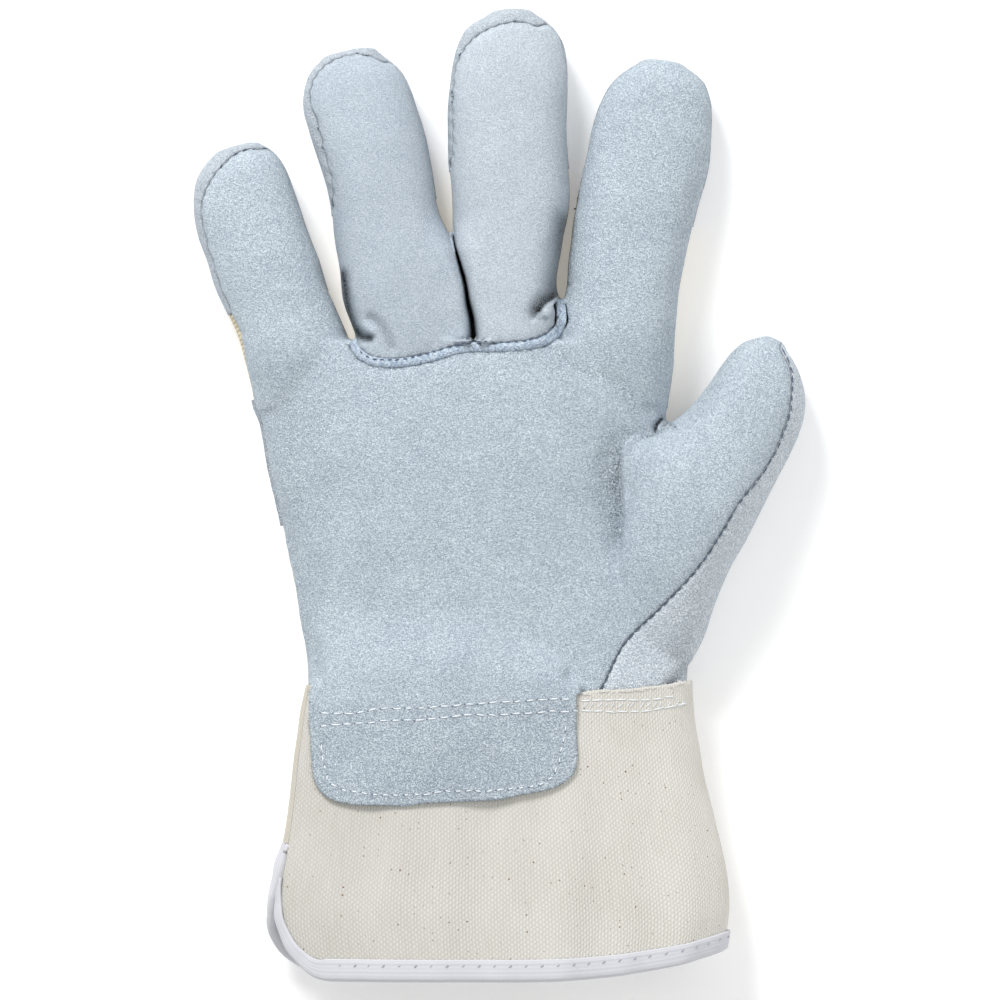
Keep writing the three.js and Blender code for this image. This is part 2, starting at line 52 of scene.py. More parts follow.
# Along Y: left edge, right edge, top, widest level and underside
PALM = [
    (-70.0, -53.4, 51.8, 28.6, 13.0, 3.0),
    (-54.0, -53.3, 51.8, 28.2, 12.8, 2.9),
    (-48.0, -53.6, 52.2, 27.2, 11.2, 2.3),
    (-38.0, -55.0, 50.8, 26.3, 9.8, 1.8),
    (-27.0, -56.8, 46.0, 26.0, 9.5, 1.7),
    (-16.0, -59.2, 43.0, 26.0, 9.5, 1.7),
    (-4.4, -61.4, 43.3, 26.3, 9.5, 1.7),
    (6.7, -63.9, 44.2, 26.5, 9.5, 1.7),
    (17.8, -65.9, 45.8, 26.2, 9.5, 1.7),
    (27.0, -68.4, 47.4, 25.4, 9.5, 1.7),
    (34.0, -70.2, 48.0, 24.5, 9.5, 1.7),
    (42.8, -71.8, 48.6, 23.1, 9.5, 1.7),
]
# Each finger: root, tip, then rows of its share along, left, right, rise over the widest level, depth under
LIMBS = {
    "little": ((-54.6, 26.1), (-72.1, 96.9), [
        (0.0, 13.6, 15.5, 9.8, 7.8), (0.2, 13.2, 16.4, 13.0, 8.0), (0.3, 13.5, 15.4, 12.7, 8.2),
        (0.4, 14.7, 14.0, 12.4, 8.5), (0.5, 16.0, 13.5, 11.9, 8.9), (0.6, 16.4, 12.4, 11.4, 9.2),
        (0.7, 17.3, 11.8, 10.7, 9.4), (0.8, 16.9, 11.2, 9.9, 9.5), (0.86, 15.8, 10.6, 9.0, 9.4),
        (0.92, 13.6, 9.2, 7.8, 9.0), (0.96, 10.4, 7.2, 6.2, 8.0), (0.985, 7.6, 5.1, 5.0, 6.4)]),
    "ring": ((-23.8, 26.1), (-40.1, 123.9), [
        (0.0, 13.5, 20.0, 14.2, 7.8), (0.2, 13.1, 21.0, 14.5, 8.0), (0.3, 15.1, 20.8, 14.2, 8.2),
        (0.4, 14.7, 18.4, 13.8, 8.5), (0.5, 14.6, 15.8, 13.3, 8.9), (0.6, 14.1, 15.7, 12.8, 9.2),
        (0.7, 15.0, 15.2, 11.8, 9.4), (0.8, 16.2, 14.0, 10.7, 9.5), (0.86, 16.7, 13.3, 9.7, 9.4),
        (0.92, 15.3, 11.2, 8.4, 9.0), (0.96, 12.9, 8.1, 6.8, 8.0), (0.985, 9.7, 5.8, 5.4, 6.6)]),
    "middle": ((6.2, 26.1), (3.2, 135.0), [
        (0.0, 13.5, 11.8, 14.2, 7.8), (0.2, 14.4, 12.4, 15.0, 8.0), (0.3, 15.9, 10.7, 14.7, 8.2),
        (0.4, 17.6, 12.6, 14.2, 8.5), (0.5, 18.0, 14.7, 13.7, 8.9), (0.6, 18.5, 14.7, 13.2, 9.2),
        (0.7, 18.2, 14.5, 12.2, 9.4), (0.8, 17.5, 15.0, 11.1, 9.5), (0.86, 16.5, 14.7, 10.0, 9.4),
        (0.92, 14.3, 13.3, 8.5, 9.0), (0.96, 11.3, 10.1, 6.8, 8.0), (0.985, 6.3, 6.2, 5.0, 6.6)]),
    "index": ((32.9, 26.1), (44.0, 120.8), [
        (0.0, 15.8, 14.2, 10.2, 7.8), (0.1, 17.0, 14.4, 13.0, 7.9), (0.2, 19.5, 13.9, 14.5, 8.0),
        (0.3, 17.9, 13.6, 14.1, 8.3), (0.4, 18.1, 14.2, 13.6, 8.6), (0.5, 17.9, 15.0, 13.2, 9.0),
        (0.6, 17.2, 16.0, 12.8, 9.2), (0.7, 16.4, 17.5, 11.8, 9.4), (0.8, 15.6, 17.3, 10.7, 9.5),
        (0.86, 14.4, 16.7, 9.6, 9.4), (0.92, 11.9, 15.0, 8.4, 9.0), (0.96, 8.2, 12.1, 6.8, 8.0),
        (0.985, 4.9, 7.6, 5.4, 6.6)]),
    "thumb": ((39.0, -40.6), (77.4, 43.3), [
        (0.0, 12.0, 15.6, 10.8, 7.6), (0.1, 15.5, 15.9, 14.5, 7.9), (0.2, 19.0, 14.9, 17.2, 8.2),
        (0.3, 21.0, 14.7, 19.0, 8.4), (0.4, 23.5, 15.5, 20.0, 8.6), (0.52, 26.0, 15.8, 19.7, 8.8),
        (0.58, 22.0, 15.9, 18.8, 8.9), (0.64, 17.2, 16.2, 17.8, 9.0), (0.7, 14.4, 16.6, 16.5, 9.2),
        (0.8, 12.1, 16.4, 14.2, 9.4), (0.86, 11.1, 14.7, 12.6, 9.4), (0.92, 9.7, 11.0, 10.6, 9.0),
        (0.96, 7.4, 7.1, 8.4, 8.0), (0.985, 4.4, 3.4, 6.2, 6.6)]),
}


def smooth_rows(rows, at):
    """Columns of a table at places in its first column, along smooth curves through its rows"""
    table = np.array(rows, float)
    x, y = table[:, 0], table[:, 1:]
    slope = np.gradient(y, x, axis=0)
    at = np.clip(at, x[0], x[-1])
    i = np.clip(np.searchsorted(x, at) - 1, 0, len(x) - 2)
    h = (x[i + 1] - x[i])[:, None]
    s = (at - x[i])[:, None] / h
    start = (1 + 2 * s) * (1 - s) ** 2 * y[i] + s * (1 - s) ** 2 * h * slope[i]
    end = s * s * (3 - 2 * s) * y[i + 1] + s * s * (s - 1) * h * slope[i + 1]
    return (start + end).T


def share(value):
    """A value held between 0 and 1"""
    return np.clip(value, 0, 1)


def rounded(turn, left, right, rise, under):
    """Section of a lying limb: domed on top, full at the sides and flat underneath"""
    cos, sin = np.cos(turn), np.sin(turn)
    across = np.sign(cos) * np.abs(cos) ** 0.8 * np.where(cos < 0, left, right)
    return across, np.where(sin > 0, sin * rise, -np.minimum(1, 1.4 * np.abs(sin)) * under)


def laid_grid(columns, rows, place):
    """A grid whose points go where place puts their two shares, from 0 to 1"""
    bm = bmesh.new()
    bmesh.ops.create_grid(bm, x_segments=columns, y_segments=rows, size=0.5)
    shares = np.array([v.co[:2] for v in bm.verts]) + 0.5
    for vert, point in zip(bm.verts, place(shares[:, 0], shares[:, 1])):
        vert.co = point
    return bm


def closed_up(bm):
    bmesh.ops.remove_doubles(bm, verts=bm.verts, dist=0.001)
    bmesh.ops.holes_fill(bm, edges=[e for e in bm.edges if e.is_boundary])
    bmesh.ops.recalc_face_normals(bm, faces=bm.faces)
    return bm


def limb_frame(name):
    """Root, direction, direction to the right, and length of a finger or the thumb"""
    root, tip = (np.array(end) for end in LIMBS[name][:2])
    length = np.linalg.norm(tip - root)
    ahead = (tip - root) / length
    return root, ahead, np.array([ahead[1], -ahead[0]]), length


def limb_place(name):
    root, ahead, aside, length = limb_frame(name)
    last = LIMBS[name][2][-1][0]
    domed = 0.85

    def place(u, v):
        bend = share((v - domed) / (1 - domed)) * math.pi / 2
        at = np.where(v < domed, v / domed * last, last + (1 - last) * np.sin(bend))
        left, right, rise, under = smooth_rows(LIMBS[name][2], at) * np.cos(bend)
        across, height = rounded(u * math.tau, left, right, rise, under)
        plan = root + np.outer(at * length, ahead) + np.outer(across, aside)
        return np.column_stack([plan, LEVEL + height])
    return place


def palm_section(turn, y):
    left, right, top, level, bottom = smooth_rows(PALM, y)
    half = (right - left) / 2
    across, height = rounded(turn, half, half, top - level, level - bottom)
    return (left + right) / 2 + across, level + height


def palm_place(u, v):
    y = PALM[0][0] + v * (PALM[-1][0] - PALM[0][0])
    x, z = palm_section(u * math.tau, y)
    return np.column_stack([x, y, z])


def mesh_from(bm, name):
    mesh = bpy.data.meshes.new(name)
    bm.to_mesh(mesh)
    bm.free()
    return mesh


def placed(name, data):
    """Puts a new object with this data into the scene"""
    made = bpy.data.objects.new(name, data)
    bpy.context.scene.collection.objects.link(made)
    return made


def hand_skin_with(*more, grain):
    """The fingers, thumb and palm with any more forms grown into one closed skin, and its faces' centres"""
    forms = [closed_up(laid_grid(72, 60, limb_place(name))) for name in LIMBS]
    forms.append(closed_up(laid_grid(96, 60, palm_place)))
    bm = bmesh.new()
    for form in forms + list(more):
        part = mesh_from(form, "form_part")
        bm.from_mesh(part)
        bpy.data.meshes.remove(part)
    whole = mesh_from(bm, "form")
    holder = placed("form", whole)
    remesh = holder.modifiers.new("remesh", "REMESH")
    remesh.mode = "VOXEL"
    remesh.voxel_size = grain
    ease = holder.modifiers.new("ease", "SMOOTH")
    ease.factor = 0.5
    ease.iterations = 4
    skin = bpy.data.meshes.new_from_object(holder.evaluated_get(bpy.context.evaluated_depsgraph_get()))
    bpy.data.objects.remove(holder)
    bpy.data.meshes.remove(whole)
    centres = np.empty(len(skin.polygons) * 3)
    skin.polygons.foreach_get("center", centres)
    return skin, centres.reshape(-1, 3)


# Seams and folds
# The lines that the panels meet on, seen from above the palm, and how the leather dips into them. Each
# panel is turned in along its stitched edge, so a seam is a small valley with soft puckers.
THUMB_SEAM = [
    (84.0, 52.0), (78.4, 40.7), (81.2, 34.3), (81.4, 30.6), (81.1, 26.1), (80.3, 20.8), (79.2, 18.1),
    (77.4, 13.3), (74.9, 8.5), (71.0, 3.1), (67.1, -1.7), (60.1, -13.1), (54.9, -20.7), (45.7, -30.6),
    (34.0, -42.5), (29.6, -51.3), (28.2, -54.4), (28.0, -75.0)]
WELT = [
    (-41.0, 42.6), (-38.8, 38.9), (-36.2, 37.2), (-31.8, 36.3), (-26.8, 36.4), (-22.6, 37.1), (-17.0, 38.4),
    (-12.5, 39.9), (-8.1, 40.6), (-3.1, 40.6), (2.5, 40.7), (7.5, 41.2), (11.7, 42.2), (14.8, 44.0),
    (16.9, 46.8), (17.1, 51.0), (16.6, 54.2)]
WELT_WIDTH = 2.4
SEAM_GAP = 0.07
FINGER_SLIT = [
    (-14.5, 84.0), (-12.6, 74.0), (-11.8, 66.9), (-10.9, 63.6), (-9.4, 58.3), (-8.7, 53.0), (-7.7, 49.0),
    (-7.1, 42.0), (-7.0, 36.0)]
FINGER_AREA = ([(-76.0, 172.0), (-62.0, 115.0), (-51.5, 84.0), (-46.8, 60.0), (-45.4, 54.0), (-43.9, 50.0),
                (-41.9, 45.5)] + WELT +
               [(17.3, 56.0), (17.5, 61.0), (18.6, 68.0), (21.3, 90.0), (24.0, 112.0), (27.0, 172.0)])
BACK_WING = [(28.0, -75.0), (28.0, -53.7), (40.0, -14.3), (48.0, 21.0), (71.0, 113.0)]
CREASE = [
    (45.0, 20.4), (43.2, 17.0), (41.0, 15.8), (38.6, 16.2), (36.0, 15.0), (34.4, 13.0), (33.9, 9.0),
    (34.1, 2.0), (34.4, -8.0), (33.4, -17.0), (31.0, -25.0)]
# Places along the crease with its strength there, and with how far it reaches over the palm
CREASE_STRENGTH = ([0, 6, 12, 17, 28, 40, 50], [0, 0.2, 0.55, 1, 0.95, 0.55, 0])
CREASE_REACH = ([0, 6, 12, 20, 40], [2.0, 2.6, 5.2, 7.2, 6.6])
# Seen edge of the back leather, where it comes round to the front of three fingertips
TIP_EDGES = {
    "little": [
        (-70.0, 40.0), (-77.1, 53.9), (-79.6, 62.2), (-81.8, 70.6), (-83.3, 77.5), (-83.2, 80.8),
        (-80.4, 87.2), (-77.1, 91.4), (-73.5, 94.5), (-70.2, 95.8), (-66.0, 96.0), (-61.0, 95.6),
        (-54.0, 93.0), (-48.0, 97.0)],
    "ring": [
        (-50.5, 66.0), (-49.0, 74.0), (-47.2, 79.0), (-46.8, 84.0), (-48.4, 92.8), (-51.2, 103.9),
        (-53.0, 109.4), (-52.2, 115.0), (-49.4, 118.9), (-45.4, 121.3), (-41.0, 122.6), (-36.0, 122.2),
        (-31.0, 120.6), (-25.0, 124.0)],
    "middle": [
        (-17.0, 80.0), (-15.0, 88.0), (-13.6, 94.0), (-13.3, 106.7), (-13.2, 113.6), (-12.4, 119.2),
        (-10.4, 123.3), (-8.2, 126.1), (-5.4, 128.3), (-0.4, 130.6), (5.7, 131.6), (11.2, 130.3),
        (17.0, 133.0)],
}
TIP_BACK = 45.0
SIDE_SEAM = 9.9
ON_THE_FLOOR = 0.05
# Folds: line, width to its left and to its right, darkness of the painted shade in it, and depth
FOLDS = [
    ([(-43.8, 61.0), (-42.6, 53.0), (-41.0, 47.0), (-39.2, 44.0)], 1.5, 1.5, 1.0, 1.2),
    ([(-39.8, 44.6), (-38.0, 43.4), (-35.8, 43.1)], 1.0, 1.0, 1.0, 2.0),
    ([(-35.7, 48.6), (-33.2, 46.7), (-31.2, 43.6), (-29.9, 40.6)], 1.4, 1.4, 0.22, 1.3),
    ([(-37.6, 46.2), (-35.0, 44.6)], 1.2, 1.2, 0.0, -0.8),
    ([(18.4, 75.5), (17.8, 70.0), (17.0, 61.0), (16.0, 57.0)], 2.2, 2.8, 0.75, 1.6),
    ([(17.6, 56.4), (15.0, 54.4), (12.4, 52.4), (11.0, 50.5)], 0.5, 2.7, 1.0, 2.4),
    ([(11.0, 50.6), (11.5, 49.2), (12.9, 48.3)], 0.7, 0.9, 0.35, 1.0),
    ([(16.4, 52.8), (14.4, 50.2)], 1.8, 1.8, 0.0, -1.4),
    ([(-11.9, 67.0), (-9.6, 58.0), (-7.8, 49.0), (-7.1, 42.4)], 0.8, 0.8, 1.0, 0.0),
    ([(43.2, 17.4), (43.6, 19.4), (44.9, 20.8)], 0.45, 0.45, 1.0, 2.0),
    ([(45.8, 19.2), (47.4, 19.6), (48.8, 18.6)], 0.5, 0.5, 0.5, -0.9),
    ([(39.5, 15.6), (42.0, 16.2), (44.6, 17.6), (48.0, 19.6)], 0.5, 0.5, 0.35, 0.5),
    ([(14.0, 39.6), (20.0, 36.2), (25.1, 33.1), (31.3, 30.3), (34.6, 26.4), (36.8, 22.8)],
     3.2, 1.4, 0.1, 0.45),
    ([(47.4, -53.4), (49.9, -50.8), (51.8, -48.2)], 1.7, 1.7, 0.3, 1.4),
]


def walked(line):
    """How far along a line each of its points is"""
    return np.concatenate([[0], np.cumsum(np.linalg.norm(np.diff(line, axis=0), axis=1))])


def on_line(line, at, reach):
    """Point at a distance along a line in plan, and the line's direction there"""
    walk = walked(line)
    x, y = (np.interp(at, walk, side) for side in line.T)
    dx, dy = (np.interp(at + reach, walk, side) - np.interp(at - reach, walk, side) for side in line.T)
    size = np.maximum(np.hypot(dx, dy), 1e-6)
    return x, y, dx / size, dy / size


def smooth_line(points, steps=4):
    """A smooth line through given points, with some steps between each two"""
    points = np.array(points, float)
    place = walked(points)
    at = [np.linspace(a, b, steps, endpoint=False) for a, b in zip(place, place[1:])]
    at = np.concatenate(at + [place[-1:]])
    return smooth_rows(np.column_stack([place, points]), at).T


def beside(line, points):
    """Distance of each point to the left of a line in plan, negative to its right, and how far along it is"""
    start, step = line[:-1], np.diff(line, axis=0)
    length = np.linalg.norm(step, axis=1)
    best = np.full(len(points), 1e9)
    signed, place = np.zeros(len(points)), np.zeros(len(points))
    x, y = points[:, 0].copy(), points[:, 1].copy()
    for (from_x, from_y), (dx, dy), stretch, so_far in zip(start, step, length, walked(line)):
        ax, ay = x - from_x, y - from_y
        passed = share((ax * dx + ay * dy) / stretch ** 2)
        distance = (ax - passed * dx) ** 2 + (ay - passed * dy) ** 2
        nearer = distance < best - 1e-12
        best[nearer] = distance[nearer]
        signed[nearer] = np.sign(dx * ay - dy * ax)[nearer]
        place[nearer] = so_far + passed[nearer] * stretch
    return signed * np.sqrt(best), place


def kept_once(field, many=60000):
    """A field over the whole skin, which has many points, is worked out once and kept"""
    known = {}

    def worked_out(points):
        if len(points) < many:
            return field(points)
        if id(points) not in known:
            known[id(points)] = field(points)
        return known[id(points)]
    return worked_out


thumb_seam, welt, slit = smooth_line(THUMB_SEAM), smooth_line(WELT), smooth_line(FINGER_SLIT)
finger_area, back_wing, crease = smooth_line(FINGER_AREA, 3), smooth_line(BACK_WING), smooth_line(CREASE)
tip_edges = {name: smooth_line(line) for name, line in TIP_EDGES.items()}


def along_limb(name, points):
    """How far along a finger or the thumb each point is, and how far to its right"""
    root, ahead, aside = limb_frame(name)[:3]
    return (points[:, :2] - root) @ ahead, (points[:, :2] - root) @ aside


@kept_once
def nearest_limb(points):
    reach = []
    for name in LIMBS:
        along, across = along_limb(name, points)
        length = limb_frame(name)[3]
        reach.append(np.hypot(across, np.maximum(0, -along) + np.maximum(0, along - length)) / 15)
    return np.argmin(reach, axis=0)


def on_limb(name, points):
    return nearest_limb(points) == list(LIMBS).index(name)


@kept_once
def front(points):
    """Height over the seam between front and back, which rides higher on the little finger's left side"""
    value = points[:, 2] - SIDE_SEAM
    for name in TIP_EDGES:
        along, across = along_limb(name, points)
        own = on_limb(name, points)
        if name == "little":
            rides = 4 * share(-across / 12 - 0.2) * share(along / 8 - 1.5)
            value = np.where(own, value - rides, value)
        near = own & (np.abs(across) < 22) & (along > limb_frame(name)[3] - 52)
        value[near] = np.minimum(value[near], -beside(tip_edges[name], points[near])[0])
    return value


@kept_once
def palm_side_of_thumb(points):
    return -beside(thumb_seam, points)[0]


@kept_once
def fingers_side_of_welt(points):
    return beside(finger_area, points)[0]


@kept_once
def welt_room(points):
    """Half the width that the welt takes, which runs out to nothing past its two ends"""
    at = beside(welt, points)[1]
    last = walked(welt)[-1]
    return WELT_WIDTH / 2 * share(np.minimum(at, last - at) / 1.5)


@kept_once
def wing_side_of_back(points):
    return -beside(back_wing, points)[0]


def past_tip_line(name, points):
    """How far past the foot of its suede tip each point of a finger is"""
    return along_limb(name, points)[0] - (limb_frame(name)[3] - TIP_BACK)


def bell(distance, width):
    """1 at no distance, and down to nothing past about twice the width"""
    return np.exp(-(distance / width) ** 2)


def valley(distance, place, depth, width, pucker=0.25, pitch=4.0):
    """How far the leather dips into a seam, deeper and shallower by turns where the thread puckers it"""
    return -depth * (1 + pucker * np.sin(place * math.tau / pitch)) * bell(distance, width)


def soft_noise(points, size, seed):
    shift = Vector((17.3 * seed, -9.1 * seed, 5.7 * seed))
    return np.array([noise.noise(Vector(p) / size + shift) for p in points])


def finger_press(points, up, down):
    """How the two middle fingers bulge beside their slit and dip into it, where they press together"""
    gap = beside(slit, points)[0]
    together = share((points[:, 1] - 40.0) / 3.0) * share((76.0 - points[:, 1]) / 8.0)
    width = np.interp(points[:, 1], [42, 66], [0.85, 0.5])
    bulge = 3.7 * bell(gap, 5.0) - 9.0 * bell(gap, width)
    return together * (up * bulge + down * 3.0 * bell(gap, 1.5))


def thumb_crease(points):
    """Dip of the palm and rise of the thumb at the crease in the thumb's crook, and the painted shade in the
    dip
    """
    fold, fold_at = beside(crease, points)
    strength = np.interp(fold_at, *CREASE_STRENGTH)
    shade = strength * bell(np.minimum(fold, 0), np.interp(fold_at, *CREASE_REACH))
    wrinkle = soft_noise(points * np.array([0.5, 1.3, 0.5]), 2.6, 5)
    on_thumb = share(fold / 0.9 + 0.5)
    palm_dip = (-1.8 + 0.7 * wrinkle) * shade
    thumb_lift = 1.3 * strength * bell(np.maximum(fold, 0), 9.0)
    # Painted shade in the crease's dip, made patchy by the wrinkles
    dark = 0.34 * shade ** 1.3 * (1 - on_thumb) * np.clip(1 + 0.9 * wrinkle, 0.4, 1.4)
    return palm_dip * (1 - on_thumb) + thumb_lift * on_thumb, dark


def shaded_edge_and_darker_tab(points):
    """Painted shade along the outer left edge of the palm, where its side turns away from the light, and a
    tab a little darker than the palm
    """
    tab = 0.09 * share((-56.0 - points[:, 1]) / 3.0)
    # Painted shade at the palm's outer left edge
    edge = share((-44.0 - points[:, 0]) / 12.0) * share((40.0 - points[:, 1]) / 20.0)
    return tab + 0.07 * edge


def settled(points, normals):
    """Where the skin goes once the leather is sewn, creased and left lightly uneven, and how dark it gets
    with painted shade in folds, creases and seams, at the palm's outer edge, and on a darker tab
    """
    up = share(normals[:, 2] * 1.4)
    down = share(-normals[:, 2] * 1.4)
    facing = share(normals[:, 2] * 2 + 0.3)
    thumb, thumb_at = beside(thumb_seam, points)
    welt_off, welt_at = beside(welt, points)
    ends = share(np.minimum(welt_at, welt_at.max() - welt_at) / 2 + 0.2)
    out = soft_noise(points, 22.0, 1) * 0.5 + soft_noise(points, 9.0, 2) * 0.22
    out += up * valley(thumb, thumb_at, 0.4, 0.8)
    out += up * ends * valley(welt_off, welt_at, 0.8, 2.6)
    out += valley(front(points), points[:, 0] + points[:, 1], 0.5, 1.0, pucker=0.4)
    moved = points + normals * out[:, None]
    rise, dark = thumb_crease(points)
    moved[:, 2] += finger_press(points, up, down) + up * rise
    dark = np.maximum(shaded_edge_and_darker_tab(points), up * dark)
    # Each fold dips the leather and, by its darkness, gets painted shade
    for line, left, right, darkness, depth in FOLDS:
        off = beside(smooth_line(line), points)[0]
        near = facing * bell(off, np.where(off > 0, left, right))
        moved[:, 2] -= depth * near
        dark = np.maximum(dark, darkness * near)
    # Painted shade in the thumb seam's valley and along the welt's two edges
    dark = np.maximum(dark, 0.3 * up * bell(thumb, 0.25))
    dark = np.maximum(dark, 0.25 * up * ends * bell(np.abs(welt_off) - WELT_WIDTH / 2, 0.5))
    return moved, dark


def cut_panel(name, skin, inside, thickness, lift=0.0, eased=0):
    """Cuts one panel out of the skin along the line where inside is zero, and gives it its thickness"""
    mesh, centres = skin
    bm = bmesh.new()
    bm.from_mesh(mesh)
    kept = inside(centres) > SEAM_GAP
    bmesh.ops.delete(bm, geom=[f for f, keep in zip(bm.faces, kept) if not keep], context="FACES")
    without_scraps(bm)
    bm.normal_update()
    edge = [v for v in bm.verts if v.is_boundary]
    points = np.array([v.co for v in edge])
    normals = np.array([v.normal for v in edge])
    for _ in range(4):
        value = inside(points) - SEAM_GAP
        slope = np.column_stack([
            (inside(points + d) - inside(points - d)) / 0.1 for d in 0.05 * np.eye(3)])
        slope -= normals * np.sum(slope * normals, axis=1)[:, None]
        size = np.maximum(np.sum(slope ** 2, axis=1), 0.05)
        step = -(value / size)[:, None] * slope
        reach = np.linalg.norm(step, axis=1)[:, None]
        points += step * np.minimum(1, 0.5 / np.maximum(reach, 1e-6))
    for vert, point in zip(edge, points):
        vert.co = point
    bmesh.ops.dissolve_degenerate(bm, dist=0.05, edges=bm.edges)
    bm.normal_update()
    points = np.array([v.co for v in bm.verts])
    normals = np.array([v.normal for v in bm.verts])
    moved, dark = settled(points, normals)
    # The fold attribute holds the painted shade that the suede darkens its colour by
    fold = bm.verts.layers.float.new("fold")
    rises = lift(points) if callable(lift) else np.full(len(points), lift)
    for vert, point, normal, shade, rise in zip(bm.verts, moved, normals, dark, rises):
        vert.co = Vector(point) + Vector(normal) * rise
        vert[fold] = shade
    for _ in range(eased):
        bmesh.ops.smooth_vert(
            bm, verts=bm.verts, factor=0.5, use_axis_x=True, use_axis_y=True, use_axis_z=True)
    return finished(name, bm, thickness)


def without_scraps(bm, smallest=400):
    """Removes the loose bits that are left beside a cut, which have fewer faces than a fingertip"""
    left = set(bm.faces)
    while left:
        patch, edge = set(), [left.pop()]
        while edge:
            face = edge.pop()
            patch.add(face)
            for near in (f for e in face.edges for f in e.link_faces if f in left):
                left.discard(near)
                edge.append(near)
        if len(patch) < smallest:
            bmesh.ops.delete(bm, geom=list(patch), context="FACES")


def finished(name, bm, thickness=0.0):
    """Turns a piece in millimetres into an object in metres, with a wall of the given thickness"""
    for vert in bm.verts:
        vert.co.z = max(vert.co.z, ON_THE_FLOOR)
    bmesh.ops.scale(bm, vec=Vector((1, 1, 1)) * MILLIMETRE, verts=bm.verts)
    for face in bm.faces:
        face.smooth = True
    piece = placed(name, mesh_from(bm, name))
    if thickness:
        wall = piece.modifiers.new("wall", "SOLIDIFY")
        wall.thickness = thickness * MILLIMETRE
        wall.offset = -1
    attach(piece, "root")
    return piece


# Suede
# Split cowhide, dyed pale blue-grey: a short matted nap with light fibre ends, dark pits between them and
# cloudy patches where the nap lies another way. Folds, creases and seams get painted shade, which darkens
# the low fibres most.


def tool_group(name, inputs, outputs):
    group = bpy.data.node_groups.new(name, "ShaderNodeTree")
    for label, kind, value in inputs:
        socket = group.interface.new_socket(label, in_out="INPUT", socket_type=kind)
        if value is not None:
            socket.default_value = value
    for label, kind in outputs:
        group.interface.new_socket(label, in_out="OUTPUT", socket_type=kind)
    return group, group.nodes.new("NodeGroupInput"), group.nodes.new("NodeGroupOutput")


def fed(tree, socket, value):
    """Links an output into a socket, or sets a plain value there"""
    if isinstance(value, bpy.types.NodeSocket):
        tree.links.new(value, socket)
    else:
        socket.default_value = value


def node(tree, kind, values=None, **settings):
    made = tree.nodes.new(kind)
    for key, value in settings.items():
        setattr(made, key, value)
    for key, value in (values or {}).items():
        fed(tree, made.inputs[key], value)
    return made


def maths(tree, operation, a, b=0.0, c=0.0):
    return node(tree, "ShaderNodeMath", {0: a, 1: b, 2: c}, operation=operation).outputs[0]


def mixture(tree, parts):
    """Sum of some grey patterns, each times its amount"""
    total, *rest = (maths(tree, "MULTIPLY", pattern, amount) for pattern, amount in parts)
    for more in rest:
        total = maths(tree, "ADD", total, more)
    return total


def clouds_of(tree, place, scale, detail, **more):
    values = {"Vector": place, "Scale": scale, "Detail": detail, **more}
    return node(tree, "ShaderNodeTexNoise", values).outputs[0]


def spread(tree, value, low, high, to_low=0.0, to_high=1.0):
    return node(tree, "ShaderNodeMapRange", {
        "Value": value, "From Min": low, "From Max": high, "To Min": to_low, "To Max": to_high}).outputs[0]


def linear(red, green, blue):
    values = [c / 255 for c in (red, green, blue)]
    return [c / 12.92 if c < 0.04045 else ((c + 0.055) / 1.055) ** 2.4 for c in values] + [1.0]


def blended(tree, factor, first, second):
    return node(tree, "ShaderNodeMix", {0: factor, 6: first, 7: second}, data_type="RGBA").outputs[2]


def matte(name, rough=0.95, shine=0.1):
    """A new material with no colour yet, its node tree and its shader"""
    material = bpy.data.materials.new(name)
    material.use_nodes = True
    shader = material.node_tree.nodes["Principled BSDF"]
    shader.inputs["Roughness"].default_value = rough
    shader.inputs["Specular IOR Level"].default_value = shine
    return material, material.node_tree, shader


def embossed(tree, shader, height, strength, distance):
    relief = node(tree, "ShaderNodeBump", {"Height": height, "Strength": strength, "Distance": distance})
    tree.links.new(relief.outputs[0], shader.inputs["Normal"])


nap, nap_in, nap_out = tool_group(
    "suede nap",
    [("Vector", "NodeSocketVector", None), ("Fibres", "NodeSocketFloat", 900.0)],
    [("Fibre", "NodeSocketFloat"), ("Pit", "NodeSocketFloat"), ("Cloud", "NodeSocketFloat"),
     ("Height", "NodeSocketFloat")])
nap_place = nap_in.outputs["Vector"]
fibre = clouds_of(nap, nap_place, nap_in.outputs["Fibres"], 1.0, Roughness=0.6, Distortion=0.6)
strand = clouds_of(nap, nap_place, maths(nap, "MULTIPLY", nap_in.outputs["Fibres"], 0.8), 1.0,
                   Roughness=0.5, Distortion=1.6)
fed(nap, nap_out.inputs["Fibre"], fibre)
fed(nap, nap_out.inputs["Pit"], spread(nap, strand, 0.46, 0.38))
fed(nap, nap_out.inputs["Cloud"], clouds_of(nap, nap_place, 70.0, 4.0, Roughness=0.6))
fed(nap, nap_out.inputs["Height"], mixture(nap, [(fibre, 0.5), (strand, 0.5)]))


